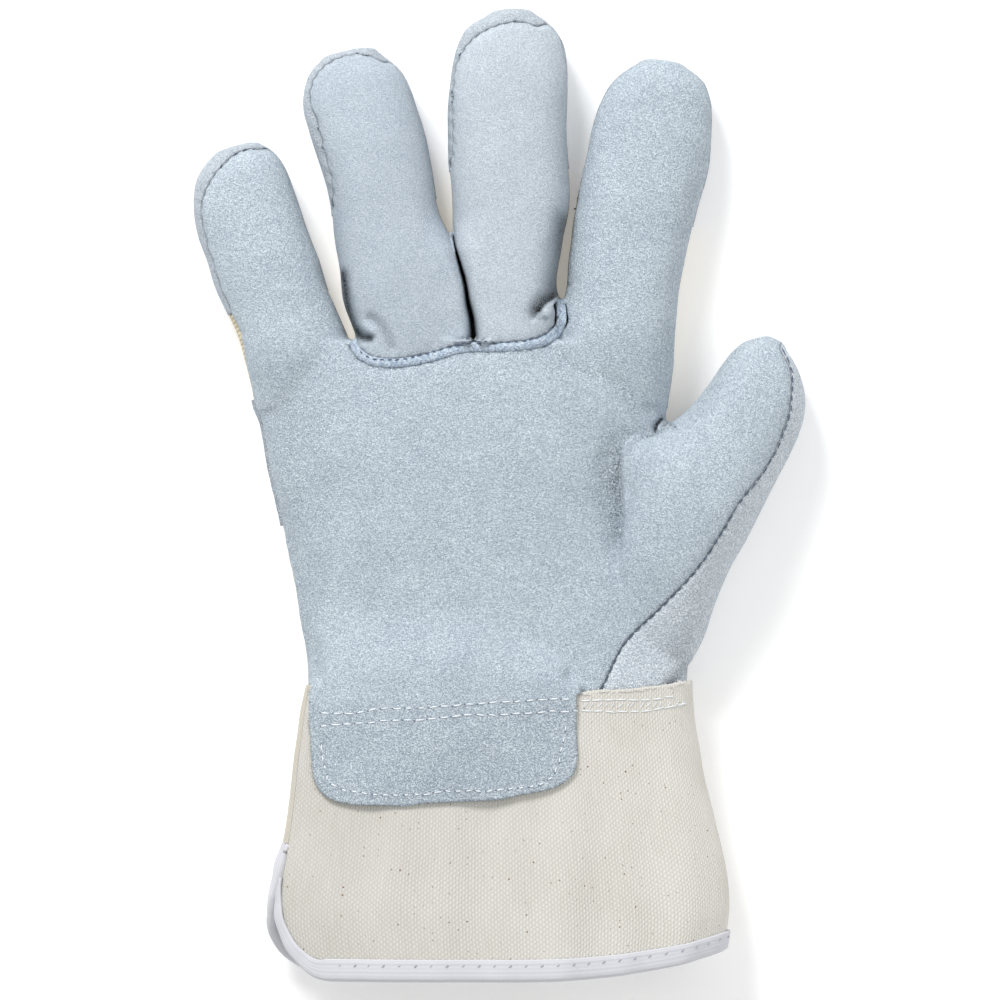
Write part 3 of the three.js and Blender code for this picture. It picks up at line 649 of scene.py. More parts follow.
def suede(name, light, dark, pit, fibres, bump=1.0, pits=0.6, fold_shade_by_fibre=(2.0, 0.1)):
    """Suede in its light, dark and pit colours; the last argument says how much painted shade its low and
    high fibres get in a fold
    """
    material, tree, shader = matte(name)
    place = node(tree, "ShaderNodeTexCoord").outputs["Object"]
    grain = node(tree, "ShaderNodeGroup", {"Vector": place, "Fibres": fibres}, node_tree=nap)
    fold = node(tree, "ShaderNodeAttribute", attribute_name="fold").outputs["Fac"]
    shade = mixture(tree, [(spread(tree, grain.outputs["Fibre"], 0.36, 0.64), 0.8),
                           (spread(tree, grain.outputs["Cloud"], 0.3, 0.7), 0.2)])
    colour = blended(tree, shade, linear(*dark), linear(*light))
    # Painted shade: where the fold attribute is high, the colour goes towards a third of the dark tone
    painted_fold_shade = maths(tree, "MULTIPLY", fold, spread(tree, grain.outputs["Fibre"], 0.4, 0.6, *fold_shade_by_fibre))
    colour = blended(tree, painted_fold_shade, colour, linear(*[c * 0.3 for c in dark]))
    pitted = maths(tree, "MULTIPLY", grain.outputs["Pit"], pits)
    fed(tree, shader.inputs["Base Color"], blended(tree, pitted, colour, linear(*pit)))
    embossed(tree, shader, grain.outputs["Height"], bump, 0.0008)
    return material


# Palm leather
# One piece of suede covers the palm, the index and little fingers and the thumb's inner side. At the wrist
# it runs on as a round-cornered tab that is stitched over the canvas.
TAB = [
    (-52.6, -40.0), (-52.9, -53.7), (-52.9, -62.0), (-52.3, -68.0), (-51.9, -74.0), (-51.5, -78.1),
    (-50.0, -81.7), (-46.8, -84.5), (-43.2, -85.6), (-37.9, -86.1), (-31.5, -86.2), (-26.2, -86.4),
    (-22.1, -85.8), (-15.1, -85.3), (-7.9, -85.0), (0.7, -84.4), (5.6, -83.3), (11.5, -82.2), (16.3, -80.8),
    (19.3, -78.8), (21.0, -76.5), (21.5, -73.9), (21.4, -67.0), (21.3, -55.2)]
CUFF_TOP = -53.7
CUFF_LEVEL = 13.0
CUFF_LENGTH = 79.9
# Height over the widest level at the wrist, what it gains by the hem, and depth under that level
CUFF_RISE = 17.0
CUFF_OPENS = 3.0
CUFF_UNDER = 11.8
SIDES_SHORTER = 8.0
TAB_PROUD = 1.3
TAB_SUNK = 0.4
SLEEVE_FOOT = -96.0
SLEEVE_LENGTH = 72.0
# Along the cuff from the wrist: half width, middle
CUFF_FLARE = [
    (0.0, 53.7, -0.1), (0.09, 54.7, -0.7), (0.165, 55.4, -0.8), (0.24, 56.4, -0.7), (0.32, 57.2, -0.6),
    (0.4, 58.2, -0.3), (0.475, 59.3, 0.0), (0.55, 60.5, 0.1), (0.63, 61.9, 0.1), (0.7, 63.0, 0.1),
    (0.78, 63.8, 0.1), (0.86, 63.8, 0.3), (0.93, 63.2, 0.4), (1.0, 62.4, 0.4), (1.05, 61.9, 0.4)]


def cuff_place(turn, at, offset):
    """Point of the cuff at a turn round it and a share of its length, proud of the canvas by an offset"""
    half, middle = smooth_rows(CUFF_FLARE, at)
    rise = CUFF_RISE + CUFF_OPENS * at + offset
    across, height = rounded(turn, half + offset, half + offset, rise, CUFF_UNDER + offset)
    shorten = SIDES_SHORTER * np.maximum(0, np.cos(turn)) ** 2
    return np.column_stack([middle + across, CUFF_TOP - at * (CUFF_LENGTH - shorten), CUFF_LEVEL + height])


tab_edge = smooth_line(TAB)


def tab_place(u, v):
    """The sleeve that the tab is cut from: over the canvas below the wrist, and down to the palm above it"""
    y = SLEEVE_FOOT + v * SLEEVE_LENGTH
    at = np.maximum(0, (CUFF_TOP - y) / CUFF_LENGTH)
    turn = 0.06 + u * (math.pi - 0.12)
    cover = cuff_place(turn, at, TAB_PROUD)
    palm_x, palm_z = palm_section(turn, y)
    ease = share((y - CUFF_TOP) / np.interp(cover[:, 0], [0, 20], [26, 9]))
    side = share((np.abs(cover[:, 0] + 15.7) - 31.5) / 5.0) * share((y - CUFF_TOP) / 2.5)
    ease = np.maximum(ease, side)
    ease = ease * ease * (3 - 2 * ease)
    x = cover[:, 0] * (1 - ease) + palm_x * ease
    z = cover[:, 2] * (1 - ease) + (palm_z - TAB_SUNK) * ease
    return np.column_stack([x, y, z])


def tab_sleeve():
    bm = laid_grid(90, 74, tab_place)
    spare = []
    for face in bm.faces:
        x, y = face.calc_center_median().xy
        narrow = 1.0 if y > CUFF_TOP - 1.5 else 0.0
        if not -53.6 + narrow < x < 22.6 - narrow:
            spare.append(face)
    bmesh.ops.delete(bm, geom=spare, context="FACES")
    made = bmesh.ops.extrude_face_region(bm, geom=bm.faces[:])
    lower = [v for v in made["geom"] if isinstance(v, bmesh.types.BMVert)]
    bmesh.ops.translate(bm, vec=Vector((0, 0, -5.0)), verts=lower)
    bmesh.ops.recalc_face_normals(bm, faces=bm.faces)
    return bm


hand_skin = hand_skin_with(grain=SKIN_GRAIN)
tabbed_skin = hand_skin_with(tab_sleeve(), grain=PALM_GRAIN)


@kept_once
def inside_palm(points):
    value = np.minimum(front(points), palm_side_of_thumb(points))
    value = np.minimum(value, -fingers_side_of_welt(points) - welt_room(points))
    beyond = points[:, 0] > 21.6
    over_cuff = points[:, 1] < np.where(beyond, CUFF_TOP - 1.6, CUFF_TOP)
    tab = np.minimum(beside(tab_edge, points)[0], points[:, 2] - 16.0)
    under_canvas = np.minimum(np.minimum(points[:, 0] - 24.5, points[:, 1] - CUFF_TOP + 7.0), value)
    return np.where(over_cuff, np.where(beyond, under_canvas, tab), value)


palm = cut_panel("palm_leather_panel", tabbed_skin, inside_palm, LEATHER)
palm.data.materials.append(
    suede("palm suede", (218, 229, 236), (159, 172, 184), (134, 149, 164), fibres=2500.0))
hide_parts("palm_leather")

# Finger fronts
# The ring and middle fingers have fronts of their own, sewn to the palm over a welt. Their suede is shaved
# finer than the palm's, and they press together above the welt.
SHAVED = {"fibres": 2800.0, "bump": 0.7, "pits": 0.4, "fold_shade_by_fibre": (1.15, 0.8)}


@kept_once
def ring_side(points):
    return -beside(slit, points)[0]


def finger_front(points):
    return np.minimum(front(points), fingers_side_of_welt(points) - welt_room(points))


def inside_ring(points):
    return np.minimum(finger_front(points), ring_side(points))


def inside_middle(points):
    return np.minimum(finger_front(points), -ring_side(points))


ring_front = cut_panel("ring_front_panel", hand_skin, inside_ring, LEATHER)
ring_front.data.materials.append(
    suede("ring suede", (200, 209, 217), (156, 168, 179), (138, 152, 165), **SHAVED))
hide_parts("ring_finger_front")

middle_front = cut_panel("middle_front_panel", hand_skin, inside_middle, LEATHER)
middle_front.data.materials.append(
    suede("middle suede", (208, 216, 223), (163, 174, 184), (145, 158, 170), **SHAVED))
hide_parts("middle_finger_front")

# Welt
# A narrow folded strip of bluer suede, caught in the seam at the foot of the two middle fingers. It stands
# between the two stitched edges like a flattened cord.
WELT_PROUD = 0.7
DOWN = Vector((0, 0, -1))


def solid_tree(mesh):
    return BVHTree.FromPolygons([v.co for v in mesh.vertices], [f.vertices for f in mesh.polygons])


def surface_of(*pieces, around=0.0):
    """Height of the highest of some finished pieces over a place in plan, in millimetres"""
    trees = [solid_tree(piece.data) for piece in pieces]

    def height(x, y, missing=0.0):
        places = [(x, y)]
        if around:
            places += [(x - around, y), (x + around, y), (x, y - around), (x, y + around)]
        starts = [Vector((a, b, 100.0)) * MILLIMETRE for a, b in places]
        hits = [tree.ray_cast(start, DOWN)[0] for tree in trees for start in starts]
        return max([hit.z / MILLIMETRE for hit in hits if hit] or [missing])
    return height


skin_tree = solid_tree(hand_skin[0])


def skin_height(x, y):
    hit = skin_tree.ray_cast(Vector((x, y, 100.0)), DOWN)[0]
    return hit.z if hit else 12.0


def welt_place(u, v):
    length = walked(welt)[-1]
    at = u * length
    x, y, ahead_x, ahead_y = on_line(welt, at, 0.4)
    across = (v - 0.5) * (WELT_WIDTH + 0.7)
    dome = np.sqrt(np.maximum(0, 1 - (2 * v - 1) ** 2))
    plan_x, plan_y = x - ahead_y * across, y + ahead_x * across
    height = np.array([max(skin_height(a, b), 13.0) for a, b in zip(x, y)])
    slope = np.array([skin_height(a, b) for a, b in zip(plan_x, plan_y)]) - height
    height += np.clip(slope, -0.3, 1.6)
    wave = 0.12 * np.sin(at * math.tau / 2.6)
    end = share(np.minimum(at, length - at) / 4.0)
    return np.column_stack([plan_x, plan_y, height - 2.1 + 0.6 * end + dome * (WELT_PROUD + 0.8 + wave)])


welt_strip = finished("finger_welt_strip", laid_grid(160, 8, welt_place), 1.0)
welt_strip.data.materials.append(
    suede("welt suede", (206, 216, 224), (152, 169, 187), (122, 143, 170), fibres=1500.0, pits=0.7))
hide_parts("finger_base_welt")

# Thumb wing
# Suede that wraps the back of the thumb and the heel of the hand, sewn to the palm along the thumb's long
# front seam and to the cloth on the back. It ends under the canvas.
UNDER_CUFF = 8.0


@kept_once
def inside_wing(points):
    on_front = np.minimum(-palm_side_of_thumb(points), front(points) + 1.5)
    on_back = np.minimum(wing_side_of_back(points), -front(points))
    return np.minimum(np.maximum(on_front, on_back), points[:, 1] - (CUFF_TOP - UNDER_CUFF))


wing = cut_panel("thumb_wing_panel", hand_skin, inside_wing, LEATHER)
wing.data.materials.append(
    suede("wing suede", (234, 240, 245), (174, 185, 195), (148, 162, 174), fibres=2200.0, fold_shade_by_fibre=(1.3, 0.6)))
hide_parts("thumb_wing")

# Fingertip backs
# Four suede caps protect the backs of the fingertips. They come round the sides, so that their seams show
# from the palm side on three of the fingers.
FINGERS = ("little", "ring", "middle", "index")
tip_suede = suede("tip suede", (208, 215, 221), (164, 174, 184), (142, 154, 166), fibres=2500.0)

for name in FINGERS:
    def inside_tip(points, name=name):
        value = np.minimum(-front(points), past_tip_line(name, points))
        return np.where(on_limb(name, points), value, -1.0)

    cap = cut_panel(name + "_tip_cap", hand_skin, inside_tip, LEATHER, lift=0.25)
    cap.data.materials.append(tip_suede)
    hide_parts(name + "_tip_back")

# Cloth back
# Cream cotton drill covers the back of the hand and the fingers up to the tip caps. It is cut full and sewn
# into the side seams. Drill is woven with a fine slanting rib.
RIB_SLANT = 0.96


def cotton_drill():
    material, tree, shader = matte("cotton drill")
    place = node(tree, "ShaderNodeTexCoord").outputs["Object"]
    slanted = node(tree, "ShaderNodeMapping", {"Vector": place, "Rotation": (0, 0, RIB_SLANT)}).outputs[0]
    rib = node(tree, "ShaderNodeTexWave", {
        "Vector": slanted, "Scale": 260.0, "Distortion": 1.2, "Detail": 2.0,
        "Detail Scale": 3.0}).outputs["Fac"]
    cloud = clouds_of(tree, place, 60.0, 4.0)
    shade = mixture(tree, [(rib, 0.55), (spread(tree, cloud, 0.3, 0.7), 0.45)])
    fed(tree, shader.inputs["Base Color"], blended(tree, shade, linear(186, 176, 150), linear(222, 214, 192)))
    embossed(tree, shader, rib, 0.5, 0.0004)
    return material


@kept_once
def inside_back(points):
    value = np.minimum(-front(points), -wing_side_of_back(points))
    for name in FINGERS:
        value = np.where(on_limb(name, points), np.minimum(value, -past_tip_line(name, points)), value)
    return np.minimum(value, points[:, 1] - (CUFF_TOP - UNDER_CUFF))


back = cut_panel("back_cloth_panel", hand_skin, inside_back, CLOTH)
back.data.materials.append(cotton_drill())
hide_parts("back_cloth")

# Knuckle strap
# A flat band of suede stitched across the knuckles over the cloth, with its ends caught in the side seams.
# The glove rests on it.
STRAP_TOP, STRAP_FOOT, STRAP_RIGHT = 27.0, -9.8, 44.0


@kept_once
def inside_strap(points):
    value = np.minimum(-front(points), -wing_side_of_back(points))
    value = np.minimum(value, STRAP_RIGHT - points[:, 0])
    return np.minimum(value, np.minimum(STRAP_TOP - points[:, 1], points[:, 1] - STRAP_FOOT))


def strap_lift(points):
    """The strap lies flat on the cloth below and is tucked in towards the side seams"""
    return 1.7 * np.clip(-front(points) / 6.0, 0.6, 1)


strap = cut_panel("knuckle_strap_panel", hand_skin, inside_strap, LEATHER, lift=strap_lift, eased=16)
strap.data.materials.append(
    suede("strap suede", (210, 218, 225), (158, 170, 181), (136, 149, 162), fibres=2400.0))
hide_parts("knuckle_strap")

# Canvas cuff
# A stiff strip of undyed cotton canvas, rolled round the wrist and flared to the hem. Its two ends meet at
# the little finger's side, sewn for the upper half and left open as a slit with round corners below.
CANVAS = 1.2
SLIT_TURN = math.radians(163)
SLIT_FROM = 0.5
CORNER_WIDE = 14.0
CORNER_LONG = 21.0
# How much wider and longer the back corner is rounded than the front one
BACK_WIDER = 1.9
BACK_LONGER = 1.75
CANVAS_TOP = np.array([
    (-60.0, -52.6), (-50.0, -53.2), (-40.0, -54.2), (21.5, -54.9), (27.1, -54.2), (28.8, -54.0),
    (31.0, -54.2), (36.5, -53.9), (41.5, -53.3), (46.8, -52.8), (50.4, -52.1), (55.0, -51.6)])
HEM_STEPS = 1600
hem_turns = np.linspace(SLIT_TURN + 0.2, SLIT_TURN - math.tau - 0.2, HEM_STEPS)
hem_at = walked(cuff_place(hem_turns, np.full(HEM_STEPS, 0.8), 0.0))
hem_at -= np.interp(-SLIT_TURN, -hem_turns, hem_at)
GIRTH = float(np.interp(-SLIT_TURN + math.tau, -hem_turns, hem_at))


def strip_place(place, at, offset):
    """Point of the canvas at a distance round it from the slit and a share of its length from the wrist"""
    ease = share((at - SLIT_FROM) / 0.08)
    room = 0.35 + 0.5 * ease + 1.2 * np.maximum(0, at - SLIT_FROM)
    near = room + place * (GIRTH - 2 * room) / GIRTH
    turn = np.interp(near, hem_at, hem_turns)
    wave = 0.55 * np.sin(place * math.tau / 41 + 1.2 + 1.1 * at)
    wave += 0.3 * np.sin(place * math.tau / 17 + 3 * at)
    wave = wave * share(at * 1.6) * share(place / 12) * share((GIRTH - place) / 12)
    lap = 0.9 * np.exp(-np.maximum(0, place) / 5) * share((1.1 - at) / 0.4)
    made = cuff_place(turn, at, offset + wave + lap)
    rise = np.interp(made[:, 0], *CANVAS_TOP.T) - CUFF_TOP
    made[:, 1] += np.where(np.sin(turn) > 0, rise, 0.5) * share(1 - at / 0.3)
    return made


def hem_end(place):
    """Share of the cuff's length at which the hem lies, which is shorter at the slit's two round corners"""
    near = share(np.minimum(place, (GIRTH - place) / BACK_WIDER) / CORNER_WIDE)
    long = np.where(place < GIRTH / 2, CORNER_LONG, CORNER_LONG * BACK_LONGER)
    return 1 - long * (1 - np.sqrt(np.maximum(0, 1 - (1 - near) ** 2))) / CUFF_LENGTH


def canvas_place(u, v):
    place = u * GIRTH
    return strip_place(place, v * hem_end(place), 0.0)


def canvas_pattern(u, v):
    place = u * GIRTH
    return np.column_stack([place, -v * hem_end(place) * CUFF_LENGTH])


def patterned_grid(columns, rows, place, pattern):
    """A grid laid twice: its points in space, and its flat pattern in millimetres as a UV map"""
    bm = laid_grid(columns, rows, place)
    bm.verts.index_update()
    flat = laid_grid(columns, rows, lambda u, v: np.column_stack([pattern(u, v), 0 * u]))
    flat.verts.ensure_lookup_table()
    layer = bm.loops.layers.uv.new("pattern")
    for face in bm.faces:
        for loop in face.loops:
            loop[layer].uv = flat.verts[loop.vert.index].co.xy
    flat.free()
    return bm


canvas_bm = patterned_grid(330, 110, canvas_place, canvas_pattern)
canvas_bm.normal_update()
if max(canvas_bm.faces, key=lambda face: face.calc_center_median().z).normal.z < 0:
    bmesh.ops.reverse_faces(canvas_bm, faces=canvas_bm.faces)
cuff = finished("cuff_canvas_strip", canvas_bm, CANVAS)

weave, weave_in, weave_out = tool_group(
    "plain weave",
    [("Vector", "NodeSocketVector", None), ("Pitch across", "NodeSocketFloat", 1.0),
     ("Pitch along", "NodeSocketFloat", 1.0), ("Unevenness", "NodeSocketFloat", 0.6)],
    [("Nub", "NodeSocketFloat"), ("Slub", "NodeSocketFloat")])
weave_place = weave_in.outputs["Vector"]
wobble = maths(weave, "SUBTRACT", clouds_of(weave, weave_place, 0.28, 2.0), 0.5)
wobble = maths(weave, "MULTIPLY", wobble, weave_in.outputs["Unevenness"])
parts = node(weave, "ShaderNodeSeparateXYZ", {0: weave_place})
waves = []
for part, pitch in ((0, "Pitch across"), (1, "Pitch along")):
    turn = maths(weave, "MULTIPLY", maths(weave, "ADD", parts.outputs[part], wobble), math.tau)
    waves.append(maths(weave, "SINE", maths(weave, "DIVIDE", turn, weave_in.outputs[pitch])))
crossing = maths(weave, "MULTIPLY_ADD", maths(weave, "MULTIPLY", waves[0], waves[1]), 0.16, 0.33)
ends = maths(weave, "MULTIPLY", waves[0], waves[0])
fed(weave, weave_out.inputs["Nub"], maths(weave, "MULTIPLY_ADD", ends, 0.36, crossing))
drawn_out = node(weave, "ShaderNodeMapping", {"Vector": weave_place, "Scale": (1.2, 0.12, 1)}).outputs[0]
fed(weave, weave_out.inputs["Slub"], clouds_of(weave, drawn_out, 1.0, 3.0))


def cotton_canvas(low, high, fleck, slit_shade):
    """Undyed canvas flecked with seed, with painted light that makes it paler away from the slit's front
    edge, and painted shade along the slit's back edge
    """
    material, tree, shader = matte("cotton canvas")
    flat = node(tree, "ShaderNodeUVMap", uv_map="pattern").outputs[0]
    cloth = node(tree, "ShaderNodeGroup", {
        "Vector": flat, "Pitch across": 1.78, "Pitch along": 1.36, "Unevenness": 0.8}, node_tree=weave)
    shade = mixture(tree, [
        (spread(tree, cloth.outputs["Nub"], 0.1, 0.9), 0.7),
        (spread(tree, cloth.outputs["Slub"], 0.3, 0.7), 0.15),
        (spread(tree, clouds_of(tree, flat, 0.045, 2.0), 0.35, 0.65), 0.15)])
    from_slit = node(tree, "ShaderNodeSeparateXYZ", {0: flat}).outputs[0]
    # Painted light: darker near the slit's front edge, paler towards the right
    across = spread(tree, from_slit, 0.0, 150.0)
    deep = blended(tree, across, linear(*[c * 0.95 for c in low]), linear(*[c * 1.05 for c in low]))
    pale = blended(tree, across, linear(*[c * 0.95 for c in high]), linear(*[c * 1.04 for c in high]))
    # Painted shade along the slit's back edge, under the lap of the front edge
    edge = spread(tree, from_slit, GIRTH - 9.0, GIRTH - 3.0, 0.0, 0.4)
    colour = blended(tree, edge, blended(tree, shade, deep, pale), linear(*slit_shade))
    seed = node(tree, "ShaderNodeTexVoronoi", {"Vector": flat, "Scale": 0.42, "Randomness": 1.0},
                voronoi_dimensions="2D")
    odd = node(tree, "ShaderNodeSeparateColor", {0: seed.outputs["Color"]})
    size = spread(tree, odd.outputs[0], 0.68, 1.0, 0.0, 0.13)
    spot = spread(tree, maths(tree, "SUBTRACT", size, seed.outputs["Distance"]), 0.0, 0.04)
    spot = maths(tree, "MULTIPLY", spot, spread(tree, odd.outputs[1], 0.2, 1.0, 0.4, 1.0))
    fed(tree, shader.inputs["Base Color"], blended(tree, spot, colour, linear(*fleck)))
    embossed(tree, shader, cloth.outputs["Nub"], 0.8, 0.0004)
    return material


cuff.data.materials.append(cotton_canvas((186, 182, 171), (220, 219, 214), (116, 80, 50), (156, 146, 124)))
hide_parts("cuff_canvas")

# Hem binding
# White ribbed cotton tape folded over the canvas edge, round the hem and up both sides of the slit, and
# held by one row of machine stitches through both of its sides.

# Section of the folded tape: depth over the canvas from its edge, height over the canvas's outer face
TAPE_FOLD = np.array([
    (5.0, 0.15), (5.0, 0.75), (4.6, 0.98), (3.6, 1.0), (3.1, 0.95), (2.6, 1.0), (1.2, 1.08), (0.7, 1.0),
    (0.2, 1.06), (-0.7, 0.85), (-1.2, 0.2), (-1.35, -0.6), (-1.2, -1.4), (-0.6, -2.1), (1.0, -2.25),
    (3.5, -2.2), (4.7, -2.15), (5.0, -1.95), (5.0, -1.35), (3.0, -1.35), (-0.2, -1.3), (-0.35, -0.6),
    (-0.2, 0.12), (3.0, 0.12), (5.0, 0.15)])
# Share of the cuff's length at which the tape starts on the slit's front and back edges
TAPE_STARTS = (0.66, 0.57)
tape_corner = np.sin(np.linspace(0, math.pi / 2, 30)) ** 2 * CORNER_WIDE
tape_round = np.concatenate([
    tape_corner, np.linspace(CORNER_WIDE, GIRTH - BACK_WIDER * CORNER_WIDE, 200)[1:-1],
    GIRTH - BACK_WIDER * tape_corner[::-1]])
front_side, back_side = (
    np.linspace(start, foot, 12)[:-1] for start, foot in zip(TAPE_STARTS, hem_end(np.array([0.0, GIRTH]))))
tape_line = np.column_stack([
    np.concatenate([0 * front_side, tape_round, 0 * back_side + GIRTH]),
    np.concatenate([front_side, hem_end(tape_round), back_side[::-1]]) * CUFF_LENGTH])
tape_length = walked(tape_line)[-1]


def beside_tape(along, depth, height):
    """Point at a distance along the tape, in from the canvas's edge and over the canvas's outer face"""
    place, down, ahead_x, ahead_y = on_line(tape_line, along, 0.8)
    return strip_place(place + ahead_y * depth, (down - ahead_x * depth) / CUFF_LENGTH, height)


def tape_point(u, v):
    along = u * tape_length
    place = on_line(tape_line, along, 0.8)[0]
    step = v * (len(TAPE_FOLD) - 1)
    depth, height = (np.interp(step, np.arange(len(TAPE_FOLD)), side) for side in TAPE_FOLD.T)
    front_edge = share(place / CORNER_WIDE)
    depth = np.where((place < CORNER_WIDE) & (depth > 0), depth * (0.3 + 0.7 * front_edge ** 0.7), depth)
    depth *= np.interp(np.minimum(along, tape_length - along), [0, 9], [0.25, 1])
    return beside_tape(along, depth, height + 0.1 * np.sin(along * math.tau / 9.0))


def tape_pattern(u, v):
    girth = np.interp(v * (len(TAPE_FOLD) - 1), np.arange(len(TAPE_FOLD)), walked(TAPE_FOLD))
    return np.column_stack([u * tape_length, girth])


def ribbed_tape():
    material, tree, shader = matte("binding tape", rough=0.85, shine=0.25)
    flat = node(tree, "ShaderNodeUVMap", uv_map="pattern").outputs[0]
    cloth = node(tree, "ShaderNodeGroup", {
        "Vector": flat, "Pitch across": 0.63, "Pitch along": 1.3, "Unevenness": 0.2}, node_tree=weave)
    ridge = node(tree, "ShaderNodeTexWave", {
        "Vector": flat, "Scale": 0.28, "Distortion": 0.6, "Detail": 2.0}, bands_direction="Y").outputs["Fac"]
    shade = mixture(tree, [(cloth.outputs["Nub"], 0.7), (ridge, 0.18)])
    fed(tree, shader.inputs["Base Color"], blended(tree, shade, linear(190, 191, 197), linear(221, 221, 225)))
    embossed(tree, shader, shade, 0.6, 0.0003)
    return material


binding = finished("hem_binding_tape", closed_up(
    patterned_grid(520, len(TAPE_FOLD) - 1, tape_point, tape_pattern)))
binding.data.materials.append(ribbed_tape())
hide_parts("cuff_binding")

# Stitching
# Lock stitches in white cotton hold the tab and the cuff, about eight to the inch, with a dark bead of
# painted shade for the needle hole at each end. The panels are closed with navy thread that shows only as
# short dark dashes in the seams.
UPPER_ROW = [
    (-50.0, -60.6), (-40.4, -60.6), (-34.9, -59.4), (-25.4, -59.4), (-21.2, -59.2), (-14.9, -58.6),
    (-7.9, -58.1), (-1.0, -57.6), (5.1, -57.2), (15.4, -56.7), (21.2, -56.6)]
LOWER_ROW = [
    (-50.4, -64.2), (-44.6, -63.9), (-36.2, -63.3), (-30.4, -62.5), (-23.8, -62.5), (-17.1, -61.9),
    (-7.6, -61.1), (-2.4, -61.0), (5.1, -60.7), (15.4, -60.0), (21.8, -59.9)]
CANVAS_ROWS = [[(22.0, -57.2), (26.0, -57.0), (31.0, -56.9), (41.5, -56.9), (48.8, -56.1)],
               [(22.3, -59.9), (26.8, -60.0), (41.5, -60.0), (47.4, -58.9), (52.4, -57.9)]]
TAB_ROW = [
    (-49.3, -68.7), (-49.3, -71.7), (-48.8, -74.2), (-47.9, -76.7), (-47.5, -79.2), (-45.1, -81.1),
    (-41.2, -82.2), (-35.1, -83.1), (-29.0, -83.1), (-22.1, -83.1), (-15.7, -82.2), (-8.5, -82.1),
    (-3.2, -81.9), (2.6, -81.4), (7.4, -81.0), (11.5, -80.3), (14.0, -78.6), (15.8, -75.3), (16.8, -71.9),
    (17.9, -67.4), (18.8, -62.5)]
WELT_ROW = [
    (-39.0, 40.0), (-36.8, 38.1), (-34.2, 37.3), (-31.0, 37.2), (-26.2, 37.5), (-21.5, 38.6), (-17.1, 39.7),
    (-12.9, 41.1), (-9.3, 41.9), (-5.4, 42.2), (-0.7, 41.9), (2.9, 42.2), (7.4, 42.4), (10.4, 43.3),
    (13.8, 45.0), (15.7, 46.9), (16.2, 50.3)]
chance = np.random.default_rng(7)


def thread_bit(bm, middle, step, long, wide, tall, segments, rings):
    """A thin rounded bit of thread, fibre or hole that lies the way a step goes"""
    turn = step.to_track_quat("X", "Z").to_matrix().to_4x4()
    bmesh.ops.create_uvsphere(
        bm, u_segments=segments, v_segments=rings, radius=0.5,
        matrix=Matrix.Translation(middle) @ turn @ Matrix.Diagonal((long, wide, tall, 1)))


def sewn_row(threads, holes, line, surface, length, pitch, thick, sway, proud=0.12):
    """Lays a row of stitches along a line in plan, on the surface under it"""
    line = smooth_line(line, 6)
    at = pitch / 2
    while at < walked(line)[-1]:
        half = length / 2 * (1 + 0.12 * chance.standard_normal())
        ends = []
        for place in (at - half, at + half):
            x, y = on_line(line, place, half)[:2]
            x, y = x + sway * chance.standard_normal(), y + sway * chance.standard_normal()
            ends.append(Vector((x, y, surface(x, y, -1.0))))
        start, end = ends
        if min(start.z, end.z) > 0:
            middle = (start + end) / 2
            middle.z = max(middle.z, surface(middle.x, middle.y)) + proud
            thread_bit(threads, middle, end - start, (end - start).length, thick, thick * 0.6, 8, 6)
            if holes is not None:
                # A dark bead of painted shade stands for the needle hole
                spot = start + Vector((0, 0, 0.05))
                thread_bit(holes, spot, end - start, 0.7 + 0.3 * chance.random(), 0.5, 0.14, 6, 4)
        at += pitch


def thread_finish(name, low, high, rough, scale=1500.0):
    material, tree, shader = matte(name, rough, shine=0.5)
    twist = clouds_of(tree, node(tree, "ShaderNodeTexCoord").outputs["Object"], scale, 2.0)
    fed(tree, shader.inputs["Base Color"], blended(tree, twist, linear(*low), linear(*high)))
    return material


top_surface = surface_of(palm, cuff, wing)
white_threads, needle_hole_shades = bmesh.new(), bmesh.new()
for row in (UPPER_ROW, LOWER_ROW):
    sewn_row(white_threads, needle_hole_shades, row, top_surface, length=2.5, pitch=3.35, thick=0.42, sway=0.12)
sewn_row(white_threads, needle_hole_shades, TAB_ROW, top_surface, length=1.7, pitch=2.9, thick=0.4, sway=0.16)
for row in CANVAS_ROWS:
    sewn_row(white_threads, None, row, top_surface, length=3.2, pitch=3.35, thick=0.42, sway=0.1)
# A slanting row of fine stitches crosses between the canvas's two rows
for at in np.arange(23.0, 50.0, 1.9):
    place = [(at + 0.5 * chance.standard_normal(), -59.4), (at + 2.0 + 0.5 * chance.standard_normal(), -57.3)]
    sewn_row(white_threads, None, place, top_surface, length=2.2, pitch=2.9, thick=0.26, sway=0.1)
row_stitches = finished("white_stitches", white_threads)
row_stitches.data.materials.append(thread_finish("white thread", (214, 220, 226), (236, 238, 240), 0.7))
# Dark beads of painted shade for the needle holes
row_holes = finished("needle_hole_shades", needle_hole_shades)
row_holes.data.materials.append(thread_finish("needle hole", (88, 102, 118), (124, 138, 152), 1.0))

fronts = surface_of(palm, wing, ring_front, middle_front, welt_strip, around=0.45)
seam_threads = bmesh.new()
sewn_row(seam_threads, None, THUMB_SEAM[1:-1], fronts,
         length=2.1, pitch=2.7, thick=0.36, sway=0.08, proud=-0.05)
sewn_row(seam_threads, None, WELT_ROW, fronts, length=1.2, pitch=2.1, thick=0.4, sway=0.12, proud=0.0)
tip_fronts = surface_of(palm, ring_front, middle_front, around=0.45)
for name, line in TIP_EDGES.items():
    sewn_row(seam_threads, None, line[2:-2], tip_fronts,
             length=1.0, pitch=2.7, thick=0.36, sway=0.12, proud=-0.05)
navy = finished("seam_stitches", seam_threads)
navy.data.materials.append(thread_finish("navy thread", (56, 66, 86), (92, 106, 128), 0.8))

